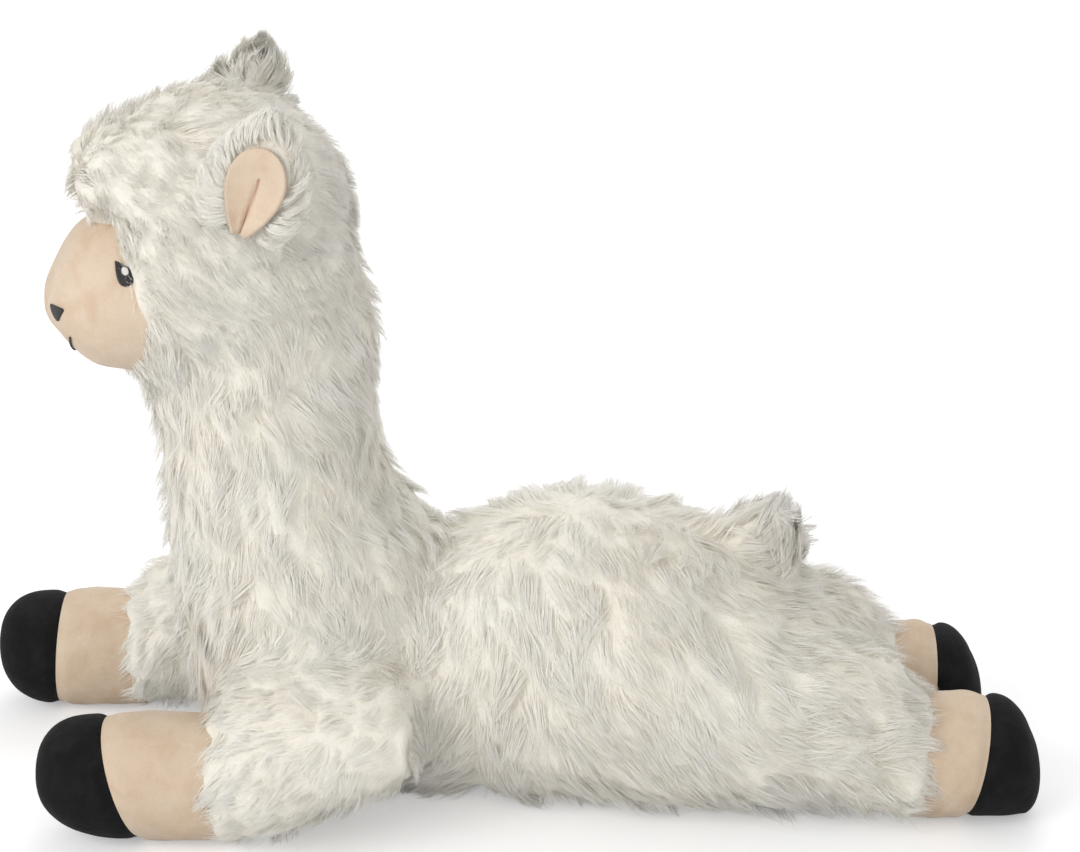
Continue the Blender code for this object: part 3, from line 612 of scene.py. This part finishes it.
def jaw():
    """The fluffy jaw, which comes forward under the muzzle and over its rear edge."""
    rows, columns = 14, 24
    verts = []
    for r in range(rows):
        b = math.pi * r / (rows - 1)
        for c in range(columns):
            a = 2 * math.pi * c / columns
            verts.append(HEAD @ Vector((
                JAW_HALF[0] * math.sin(b) * math.cos(a),
                FACE_TIP - HEAD_Y + JAW_BACK + JAW_HALF[1] * math.sin(b) * math.sin(a),
                FACE_Z - JAW_DOWN + JAW_HALF[2] * math.cos(b))))
    faces = [t for f in grid_faces(rows, columns, True) for t in ((f[0], f[1], f[2]), (f[0], f[2], f[3]))]
    return np.array([v[:] for v in verts]), np.array(faces)


def skin_of(names, voxel, rounds, sink_of, name, *more):
    """One closed smooth surface round the named nodes, moved in by the depth of the pile."""
    mesh = bpy.data.meshes.new(name)
    verts, tris = joined(names, *more)
    mesh.from_pydata(verts.tolist(), [], tris.tolist())
    obj = link_object(name, mesh)
    weld(obj, 0.000001)
    remesh = obj.modifiers.new("remesh", "REMESH")
    remesh.mode = "VOXEL"
    remesh.voxel_size = voxel
    ease = obj.modifiers.new("ease", "SMOOTH")
    ease.factor = 0.5
    ease.iterations = rounds
    outer = evaluated_mesh(obj)
    obj.modifiers.clear()
    obj.data = outer
    verts, tris = mesh_arrays(outer)
    normals = vertex_normals(verts, tris)
    inner = verts - normals * sink_of(verts)[:, None]
    obj.data = outer.copy()
    obj.data.vertices.foreach_set("co", inner.astype(np.float32).ravel())
    obj.data.update()
    split = obj.modifiers.new("split", "SUBSURF")
    split.levels = 1
    split.render_levels = 1
    fine = evaluated_mesh(obj)
    obj.modifiers.clear()
    obj.data = fine
    fine.shade_smooth()
    fine.materials.clear()
    fine.materials.append(UNDER)
    return obj, verts, inner, tris


def vertex_normals(verts, tris):
    face = np.cross(verts[tris[:, 1]] - verts[tris[:, 0]], verts[tris[:, 2]] - verts[tris[:, 0]])
    normals = np.zeros_like(verts)
    for k in range(3):
        np.add.at(normals, tris[:, k], face)
    return unit(normals)


def spread_average(values, tris, rounds, keep=0.0):
    """Average values over the neighbours on the mesh."""
    edges = np.concatenate((tris[:, (0, 1)], tris[:, (1, 2)], tris[:, (2, 0)]))
    count = np.zeros(len(values))
    np.add.at(count, edges[:, 0], 1)
    np.add.at(count, edges[:, 1], 1)
    start = values.copy()
    for _ in range(rounds):
        total = np.zeros_like(values)
        for k in range(values.shape[1]):
            total[:, k] = (np.bincount(edges[:, 0], values[edges[:, 1], k], len(values))
                           + np.bincount(edges[:, 1], values[edges[:, 0], k], len(values)))
        values = total / np.maximum(count, 1)[:, None]
        values = values * (1 - keep) + start * keep
    return values


def waves(points, scale, seed):
    """Smooth noise in three channels."""
    rng = np.random.default_rng(seed)
    result = np.zeros((len(points), 3))
    for _ in range(7):
        way = unit(rng.normal(size=(3, 3))) / scale * rng.uniform(0.6, 1.6, (3, 1)) * 2 * math.pi
        result += np.sin(points @ way.T + rng.uniform(0, 2 * math.pi, 3))
    return result / 2.6


# ---------------------------------------------------------------- fur
# columns of a style: length, height of the pile above the backing, clumping, wave, strands for each
# square millimetre, width of a strand, swirl of the lie, how far the tips leave a surface that curves away
LENGTH, HEIGHT, CLUMP, WAVE, DENSITY, WIDTH, SWIRL, LEAVE = range(8)
STYLE = {
    "torso": (0.0245, 0.0080, 0.58, 0.0018, 0.50, 0.00037, 0.40, 0.15),
    "neck": (0.0235, 0.0080, 0.62, 0.0026, 0.52, 0.00037, 0.45, 0.12),
    "head": (0.0130, 0.0070, 0.30, 0.0006, 0.92, 0.00033, 0.45, 0.18),
    "front_left": (0.0180, 0.0076, 0.55, 0.0018, 0.56, 0.00037, 0.35, 0.26),
    "front_right": (0.0180, 0.0076, 0.55, 0.0018, 0.56, 0.00037, 0.35, 0.26),
    "hind_left": (0.0190, 0.0082, 0.58, 0.0020, 0.58, 0.00037, 0.40, 0.32),
    "hind_right": (0.0190, 0.0082, 0.58, 0.0020, 0.58, 0.00037, 0.40, 0.32),
    "tail": (0.0250, 0.0120, 0.35, 0.0014, 1.50, 0.00036, 0.30, 0.60),
}
CROWN = np.array((0.0, 0.030, 0.165)) + np.array(CENTRE)
FACE_MIDDLE = np.array(HEAD @ Vector((0, FACE_TIP - HEAD_Y + 0.02, FACE_Z)))
TAIL_FOOT = np.array((0.0, 0.117, 0.085)) + np.array(CENTRE)
LIE = {
    "neck": (0.0, 0.12, -1.0), "front_left": (0.05, -0.8, -0.55), "front_right": (-0.05, -0.8, -0.45),
    "hind_left": (0.10, 0.95, -0.30), "hind_right": (-0.10, 0.95, -0.15),
}
STEPS = 8                                       # points along the centre line of a lock
SHARES = np.array((0, 0.38, 0.72, 1.0))         # places along a strand
TAPER = np.array((0.9, 1.0, 0.72, 0.0))         # its width at these places
LOCK_HALF_WIDTH, LOCK_HEIGHT, LOCK_POINTS = 0.0046, 0.0040, 15


def lie_of(label, points):
    """The direction in which the pile lies."""
    n = len(points)
    if label == "torso":
        spine = points - CROWN
        to_tail = np.clip(1.7 - np.linalg.norm(points - TAIL_FOOT, axis=1) / 0.028, 0, 1)
        return unit(np.stack((np.tanh(spine[:, 0] / 0.02) * (1 - 0.6 * to_tail),
                              spine[:, 1] * 5.5 + 0.15 + 3.0 * to_tail, np.full(n, -0.9)), 1))
    if label == "head":
        away = unit(points - FACE_MIDDLE)
        lie = unit(away * 0.38 + np.array((0.0, 0.60, -0.70)))
        for side in (1, -1):
            gap = np.linalg.norm(points - np.array(ear_matrix(side).translation), axis=1)
            near = np.clip(1.4 - gap / 0.024, 0, 1)[:, None]
            lie = lie * (1 - near) + np.array((0.0, 0.85, -0.45)) * near
        return unit(lie)
    if label == "tail":
        return unit(unit(points - TAIL_FOOT) + np.array((0.0, 0.50, 0.75)))
    return np.tile(unit(np.array(LIE[label])), (n, 1))


class Skin:
    """A surface that grows fur: points, triangles, normals, lie and the piece for each vertex."""

    def __init__(self, verts, tris, lie, density, styles, owner):
        self.verts, self.tris = verts, tris
        self.normals = vertex_normals(verts, tris)
        lie = lie - self.normals * np.sum(lie * self.normals, 1, keepdims=True)
        lie = spread_average(unit(lie), tris, 14)
        lie = lie - self.normals * np.sum(lie * self.normals, 1, keepdims=True)
        self.lie = unit(lie)
        self.density, self.styles, self.owner = density, styles, owner
        self.tree = bvh(verts, tris)
        corner = verts[tris]
        cross = np.cross(corner[:, 1] - corner[:, 0], corner[:, 2] - corner[:, 0])
        self.area = np.linalg.norm(cross, axis=1) / 2

    def scatter(self, share):
        """Random places on the surface: triangle, point, normal, style and piece of each."""
        weight = self.area * self.density[self.tris].mean(1) * 1e6 * share
        count = int(weight.sum())
        pick = RNG.choice(len(self.tris), size=count, p=weight / weight.sum())
        a, b = RNG.random(count), RNG.random(count)
        flip = a + b > 1
        a[flip], b[flip] = 1 - a[flip], 1 - b[flip]
        bary = np.stack((1 - a - b, a, b), 1)
        corner = self.tris[pick]

        def mix(values):
            return np.einsum("nk,nkd->nd", bary, values[corner])

        return pick, mix(self.verts), unit(mix(self.normals)), mix(self.styles), self.owner[corner[:, 0]]


def grow_guides(skin, share, swirl_scale):
    """Centre lines of the locks, which follow the surface at the pile's height."""
    pick, roots, normals, styles, _ = skin.scatter(share)
    count = len(roots)
    length = styles[:, LENGTH] * RNG.uniform(0.75, 1.2, count)
    height = styles[:, HEIGHT] * RNG.uniform(0.75, 1.30, count)
    twist = waves(roots, swirl_scale, 5)[:, 0] * styles[:, SWIRL] + RNG.normal(0, 0.22, count)
    phase = RNG.uniform(0, 2 * math.pi, count)
    turns = RNG.uniform(0.7, 1.3, count) * 2 * math.pi
    face_lie = skin.lie[skin.tris].mean(1)
    points = np.zeros((count, STEPS, 3))
    surface_normals = np.zeros((count, STEPS, 3))
    for i in range(count):
        place, normal = roots[i], normals[i]
        face = pick[i]
        points[i, 0], surface_normals[i, 0] = place, normal
        below = place
        rise = 0.0
        for k in range(1, STEPS):
            s = k / (STEPS - 1)
            level = height[i] * ((1 - (1 - s) ** 1.7) * 0.86 + 0.20 * s ** 3)
            step = length[i] / (STEPS - 1)
            forward = math.sqrt(max(step * step - (level - rise) ** 2, (0.25 * step) ** 2))
            rise = level
            lie = face_lie[face]
            side = np.cross(normal, lie)
            angle = twist[i] + styles[i, WAVE] * 110 * math.sin(turns[i] * s + phase[i])
            way = lie * math.cos(angle) + side * math.sin(angle)
            ahead = below + way * forward
            hit, hit_normal, face_hit, _ = skin.tree.find_nearest(Vector(ahead))
            below = np.array(hit) * (1 - styles[i, LEAVE]) + ahead * styles[i, LEAVE]
            normal = unit(normal * 0.5 + np.array(hit_normal) * 0.5)
            face = face_hit
            points[i, k] = below + normal * level
            surface_normals[i, k] = normal
    return points, surface_normals


def grow_fur(skin, guides, guide_normals, share):
    """Strands that gather into the locks, as one object for each piece."""
    _, roots, _, styles, owner = skin.scatter(share)
    count = len(roots)
    tree = kdtree.KDTree(len(guides))
    for i, g in enumerate(guides[:, 0]):
        tree.insert(Vector(g), i)
    tree.balance()
    near = np.zeros(count, int)
    loose = RNG.random(count)
    for i in range(count):
        found = tree.find_n(roots[i], 3)
        near[i] = found[0][1] if loose[i] < 0.78 or len(found) < 3 else found[1 + (loose[i] > 0.9)][1]
    stray = RNG.random(count) < 0.09
    length = RNG.uniform(0.72, 1.06, count)
    length[stray] *= RNG.uniform(1.0, 1.22, stray.sum())
    clump = styles[:, CLUMP] * RNG.uniform(0.7, 1.15, count)
    clump[stray] = 0.0
    frizz = unit(RNG.normal(size=(count, 3))) * (RNG.uniform(0.2, 1.0, count) * 0.0016)[:, None]
    frizz[stray] *= 3.0
    bend = unit(RNG.normal(size=(count, 3))) * 0.0007
    points = np.zeros((count, len(SHARES), 3))
    out = np.zeros_like(points)
    offset = roots - guides[near, 0]
    for k, s in enumerate(SHARES):
        at = np.clip(s * length, 0, 1) * (STEPS - 1)
        i = np.minimum(at.astype(int), STEPS - 2)
        f = (at - i)[:, None]
        centre = guides[near, i] * (1 - f) + guides[near, i + 1] * f
        over = np.maximum(s * length - 1, 0)[:, None]
        centre = centre + (guides[near, -1] - guides[near, -2]) * (STEPS - 1) * over
        normal = unit(guide_normals[near, i] * (1 - f) + guide_normals[near, i + 1] * f)
        tight = (clump * s ** 0.8)[:, None]
        away = offset * (1 - tight)
        points[:, k] = centre + away + frizz * s * s + bend * math.sin(math.pi * s)
        out[:, k] = unit(normal + 0.22 * away / 0.0035 * min(1.0, 0.35 + s))
    points[:, :, 2] = np.maximum(points[:, :, 2], 0.0006 + 0.0008 * RNG.random((count, 1)))
    tangents = unit(np.gradient(points, axis=1))
    side = unit(np.cross(tangents, out))
    roll = RNG.normal(0, 0.22, count)[:, None, None]
    side = unit(side * np.cos(roll) + np.cross(tangents, side) * np.sin(roll))
    width = styles[:, WIDTH] * RNG.uniform(0.65, 1.25, count)
    width[stray] *= 0.55
    shade = np.clip(RNG.normal(0.55, 0.22, count), 0, 1)
    made = []
    for key in sorted(set(owner.tolist())):
        mine = owner == key
        made.append(strip_mesh(key + "_fur", points[mine], side[mine], out[mine],
                               width[mine][:, None] * TAPER[None, :] / 2, shade[mine]))
    return made


def strip_mesh(name, points, side, normals, half, shade):
    """Tapered strips, with normals that make each lock look round."""
    count, K, _ = points.shape
    per = 2 * (K - 1) + 1
    verts = np.zeros((count, per, 3), np.float32)
    out = np.zeros((count, per, 3), np.float32)
    along = np.zeros((count, per), np.float32)
    across = np.zeros((count, per), np.float32)
    for k in range(K - 1):
        verts[:, 2 * k] = points[:, k] - side[:, k] * half[:, k, None]
        verts[:, 2 * k + 1] = points[:, k] + side[:, k] * half[:, k, None]
        for j in (2 * k, 2 * k + 1):
            out[:, j] = normals[:, k]
            along[:, j] = SHARES[k]
        across[:, 2 * k] = -1
        across[:, 2 * k + 1] = 1
    verts[:, -1] = points[:, -1]
    out[:, -1] = normals[:, -1]
    along[:, -1] = 1.0
    pattern = []
    for k in range(K - 2):
        a = 2 * k
        pattern += [(a, a + 1, a + 3), (a, a + 3, a + 2)]
    pattern.append((per - 3, per - 2, per - 1))
    return pile_mesh(name, verts, out, along, across, shade, np.array(pattern))


def pile_mesh(name, verts, out, along, across, shade, pattern):
    """All strands of one piece as one mesh, with the marks that the pile's material reads."""
    count, per, _ = verts.shape
    tris = (pattern[None] + (np.arange(count) * per)[:, None, None]).reshape(-1, 3).astype(np.int32)
    mesh = bpy.data.meshes.new(name)
    mesh.vertices.add(count * per)
    mesh.vertices.foreach_set("co", verts.astype(np.float32).ravel())
    mesh.loops.add(len(tris) * 3)
    mesh.loops.foreach_set("vertex_index", tris.ravel())
    mesh.polygons.add(len(tris))
    mesh.polygons.foreach_set("loop_start", np.arange(0, len(tris) * 3, 3, dtype=np.int32))
    mesh.update()
    mesh.shade_smooth()
    for label, values in (("along", along), ("shade", np.repeat(shade, per))):
        layer = mesh.attributes.new(label, "FLOAT", "POINT")
        layer.data.foreach_set("value", np.asarray(values, np.float32).ravel())
    seed = np.repeat(np.arange(count) * 3.7, per).reshape(count, per)
    hair = np.stack((across * 0.3, along * 1.3, seed), 2).astype(np.float32)
    layer = mesh.attributes.new("hair", "FLOAT_VECTOR", "POINT")
    layer.data.foreach_set("vector", hair.ravel())
    cells = int(math.ceil(math.sqrt(count)))
    cell = np.arange(count)
    u = (cell % cells)[:, None] + 0.5 + 0.38 * across
    v = (cell // cells)[:, None] + 0.12 + 0.76 * along
    spots = (np.stack((u, v), 2).reshape(-1, 2) / cells).astype(np.float32)
    layer = mesh.uv_layers.new(name="OFBake")
    layer.data.foreach_set("uv", spots[tris.ravel()].ravel())
    mesh.normals_split_custom_set_from_vertices(unit(out.reshape(-1, 3)).tolist())
    mesh.materials.append(FUR)
    return link_object(name, mesh)


def raise_locks(obj, guides, guide_normals, free_of):
    """Lifts the backing under each lock, so that the locks lie over one another like soft shingles."""
    verts, tris = mesh_arrays(obj.data)
    tree = kdtree.KDTree(len(verts))
    for i, v in enumerate(verts):
        tree.insert(v, i)
    tree.balance()
    normals = vertex_normals(verts, tris)
    lift = np.zeros(len(verts))
    strength = RNG.uniform(0.70, 1.10, len(guides))
    for g in range(len(guides)):
        for k in range(LOCK_POINTS):
            s = k / (LOCK_POINTS - 1)
            at = s * (STEPS - 1)
            i = min(int(at), STEPS - 2)
            middle = guides[g, i] * (1 - at + i) + guides[g, i + 1] * (at - i)
            normal = guide_normals[g, i]
            top = LOCK_HEIGHT * strength[g] * (0.25 + 0.75 * math.sin(math.pi * min(0.08 + s * 0.62, 0.5)))
            wide = LOCK_HALF_WIDTH * (0.65 + 0.75 * s - 1.15 * s ** 3)
            reach = wide + 0.0016
            foot = middle - normal * 0.7 * top
            for _, j, _ in tree.find_range(foot, reach + 0.004):
                gap = verts[j] - middle
                gap = gap - normal * (gap @ normal)
                d = math.sqrt(gap @ gap)
                if d < reach:
                    lift[j] = max(lift[j], top * (1 - (d / reach) ** 2) ** 0.5)
    lift = spread_average(lift[:, None], tris, 2, 0.25)[:, 0]
    raised = verts + normals * (lift * (0.12 + 0.88 * free_of(verts)))[:, None]
    raised[:, 2] = np.maximum(raised[:, 2], BACKING_FLOOR)
    obj.data.vertices.foreach_set("co", raised.astype(np.float32).ravel())
    obj.data.update()


def share_away(tree, reach):
    """A function of points that climbs smoothly from 0 on the tree's surface to 1 at the reach."""
    def share_of(points):
        gap = np.array([tree.find_nearest(Vector(p))[3] for p in points])
        share = np.clip(gap / reach, 0, 1)
        return share * share * (3 - 2 * share)
    return share_of


def make_body():
    names = [COAT_NODES[label] for label in COATS]
    names += [label + "_filling" for label in COATS if label != "tail"]
    from_face = share_away(bvh(*joined(["face_panel"])), 0.011)
    from_cuffs = share_away(bvh(*joined([leg + "_cuff" for leg in LEGS])), 0.010)

    def sink_of(points):
        return SINK * (0.12 + 0.88 * from_face(points)) * (0.20 + 0.80 * from_cuffs(points))

    cheek = jaw()
    obj, outer, inner, tris = skin_of(names, BODY_VOXEL, BODY_ROUNDS, sink_of, "coat_backing", cheek)
    trees = [bvh(*joined([COAT_NODES[label]])) for label in COATS]
    cheek_tree = bvh(*cheek)
    head = COATS.index("head")
    bare = bvh(*joined(["face_panel"] + [leg + "_" + part for leg in LEGS for part in ("cuff", "hoof")]))
    labels = np.zeros(len(outer), int)
    fur = np.zeros(len(outer))
    for i, point in enumerate(outer):
        p = Vector(point)
        distances = [tree.find_nearest(p)[3] for tree in trees]
        distances[head] = min(distances[head], cheek_tree.find_nearest(p)[3])
        best = int(np.argmin(distances))
        labels[i] = best
        fur[i] = 1.0 if distances[best] < 0.0090 and bare.find_nearest(p)[3] > 0.0015 else 0.0
    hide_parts(*names)

    lie = np.zeros_like(inner)
    styles = np.zeros((len(inner), 8))
    for index, label in enumerate(COATS):
        mine = labels == index
        lie[mine] = lie_of(label, inner[mine])
        styles[mine] = STYLE[label]
    styles = spread_average(styles, tris, 6)
    free = from_face(outer)
    styles[:, LENGTH] *= 0.60 + 0.40 * free
    styles[:, HEIGHT] *= (0.30 + 0.70 * free) * (0.60 + 0.40 * from_cuffs(outer))
    outer_normals = vertex_normals(outer, tris)
    under = (outer_normals[:, 2] < -0.75) & (outer[:, 2] < 0.02)
    density = styles[:, DENSITY] * fur * np.where(under, 0.35, 1.0)
    styles[under, LENGTH] *= 0.7
    owner = np.array(COATS, dtype=object)[labels]
    for label in ("torso", "neck", "head"):
        mine = labels == COATS.index(label)
        owner[mine & (inner[:, 0] > CENTRE.x)] = label + "_left"
        owner[mine & (inner[:, 0] <= CENTRE.x)] = label + "_right"
    skin = Skin(inner, tris, lie, density, styles, owner)
    quick = 1.0
    guides, guide_normals = grow_guides(skin, 0.026, 0.055)
    furs = grow_fur(skin, guides, guide_normals, 0.84 * quick)
    raise_locks(obj, guides, guide_normals, from_face)
    return obj, furs


# foot height from which the pile spreads, and its style; the right ear's is wilder, as in the photo
EAR_STYLE = {
    "left": (0.022, (0.0150, 0.0056, 0.20, 0.0008, 1.5, 0.00034, 0.3, 0.55)),
    "right": (0.032, (0.0170, 0.0085, 0.20, 0.0008, 1.5, 0.00036, 0.3, 0.85)),
}
EAR_RIM_DENSITY, EAR_BACK_DENSITY = 6.3, 1.5


def make_ears():
    """The furry backs of the ears, whose pile stands round the linings as a rim."""
    made = []
    for side_name, side in (("left", 1), ("right", -1)):
        node = side_name + "_ear_back"
        obj, outer, inner, tris = skin_of([node], EAR_VOXEL, EAR_ROUNDS, lambda p: np.full(len(p), EAR_SINK),
                                          side_name + "_ear_backing")
        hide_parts(node)
        matrix = ear_matrix(side)
        back = matrix.inverted()
        local = np.array([back @ Vector(p) for p in inner])
        foot, style = EAR_STYLE[side_name]
        spread_from = np.stack((local[:, 0] * 1.6, local[:, 1] - foot, np.zeros(len(local))), 1)
        lie_local = unit(unit(spread_from) + np.array((0.0, 0.30, 0.0)))
        turn = np.array(matrix.to_3x3())
        lie = lie_local @ turn.T
        facing = (vertex_normals(outer, tris) @ turn)[:, 2]
        ups = local[:, 1] / EAR_LENGTH - 0.05
        covered = np.array([abs(x) < EAR_WIDTH * 0.47 * ear_spread(min(up, 1.0)) and up < 1.0
                            for x, up in zip(local[:, 0], ups)])
        density = np.where(facing > -0.2, np.where(covered, 0.0, EAR_RIM_DENSITY), EAR_BACK_DENSITY)
        styles = np.tile(style, (len(inner), 1))
        ahead = np.clip((matrix @ Vector((0, EAR_LENGTH / 2, 0))).y - inner[:, 1], 0, 0.012) / 0.012
        if side > 0:
            styles[:, (LENGTH, HEIGHT)] *= (1 - 0.12 * ahead)[:, None]
        owner = np.array([side_name + "_ear"] * len(inner), dtype=object)
        skin = Skin(inner, tris, lie, density, styles, owner)
        guides, guide_normals = grow_guides(skin, 0.03, 0.03)
        rim = np.clip(guide_normals[:, :1] @ turn[:, 2] * 2 + 1.4, 0, 1)[:, :, None]
        guide_normals = unit(guide_normals + turn[:, 2] * rim)
        made += [obj, *grow_fur(skin, guides, guide_normals, 1.0)]
    return made


# ---------------------------------------------------------------- build
face = make_face()
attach(face, "root")
for leg_name, leg in LEGS.items():
    hoof_piece, cuff_piece = make_leg_cloth(leg_name, leg)
    for piece, slot in ((hoof_piece, "short_pile_black"), (cuff_piece, "short_pile_peach")):
        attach(piece, "root")
for side_name, side in (("left", 1), ("right", -1)):
    piece = make_ear_lining(side_name, side)
    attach(piece, "root")
for piece in make_embroidery():
    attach(piece, "root")

backing, furs = make_body()
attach(backing, "root")
for piece in furs:
    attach(piece, "root")
for piece in make_ears():
    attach(piece, "root")


# ---------------------------------------------------------------- floor, light, camera
MIDDLE = Vector((0, 0, 0.15))                   # what the lights point at
CAMERA_ELEVATION, CAMERA_DISTANCE, CAMERA_AIM_Z = math.radians(22), 1.3, 0.1925


def make_floor():
    """A white floor that glows for the camera alone, more so further out, so that it ends nowhere."""
    mesh = bpy.data.meshes.new("floor")
    mesh.from_pydata([(-6, -6, 0), (6, -6, 0), (6, 6, 0), (-6, 6, 0)], [], [(0, 1, 2, 3)])
    obj = link_object("floor", mesh)
    material, nodes, links, shader = new_material("floor_white")
    set_inputs(shader, Base_Color=(0.80, 0.80, 0.80, 1), Roughness=0.9, Specular_IOR_Level=0.0,
               Emission_Color=(1, 1, 1, 1))
    path = nodes.new("ShaderNodeLightPath")
    place = nodes.new("ShaderNodeTexCoord")
    reach = nodes.new("ShaderNodeVectorMath")
    reach.operation = "LENGTH"
    links.new(place.outputs["Object"], reach.inputs[0])
    pale = nodes.new("ShaderNodeMapRange")
    set_inputs(pale, From_Min=0.5, From_Max=2.2, To_Min=0.34, To_Max=0.60)
    links.new(reach.outputs["Value"], pale.inputs["Value"])
    seen = nodes.new("ShaderNodeMath")
    seen.operation = "MULTIPLY"
    links.new(pale.outputs["Result"], seen.inputs[0])
    links.new(path.outputs["Is Camera Ray"], seen.inputs[1])
    links.new(seen.outputs["Value"], shader.inputs["Emission Strength"])
    mesh.materials.append(material)


def make_light(name, place, size, power):
    data = bpy.data.lights.new(name, "AREA")
    data.shape = "DISK"
    data.size = size
    data.energy = power
    obj = link_object(name, data)
    obj.location = place
    obj.rotation_euler = (MIDDLE - Vector(place)).to_track_quat("-Z", "Y").to_euler()


def make_world():
    world = bpy.data.worlds.new("studio")
    bpy.context.scene.world = world
    world.use_nodes = True
    nodes, links = world.node_tree.nodes, world.node_tree.links
    background = nodes["Background"]
    path = nodes.new("ShaderNodeLightPath")
    level = nodes.new("ShaderNodeMapRange")
    set_inputs(level, To_Min=0.61, To_Max=1.0)
    links.new(path.outputs["Is Camera Ray"], level.inputs["Value"])
    links.new(level.outputs["Result"], background.inputs["Strength"])
    background.inputs["Color"].default_value = (1, 1, 1, 1)


make_floor()
make_world()
make_light("key", (1.3, -1.25, 1.2), 1.2, 17.5)
make_light("fill", (1.5, 0.5, 0.7), 1.5, 3)
make_light("back", (-1.3, 0.3, 1.2), 1.3, 10)

camera_data = bpy.data.cameras.new("camera")
camera_data.lens = 86.667
camera_data.sensor_width = 36.0
camera = link_object("camera", camera_data)
BACK = Vector((math.cos(CAMERA_ELEVATION), 0, math.sin(CAMERA_ELEVATION)))
camera.location = Vector((CENTRE.x, CENTRE.y, CAMERA_AIM_Z)) + BACK * CAMERA_DISTANCE
camera.rotation_euler = BACK.to_track_quat("Z", "Y").to_euler()
bpy.context.scene.camera = camera
bpy.context.scene.view_settings.view_transform = "Standard"
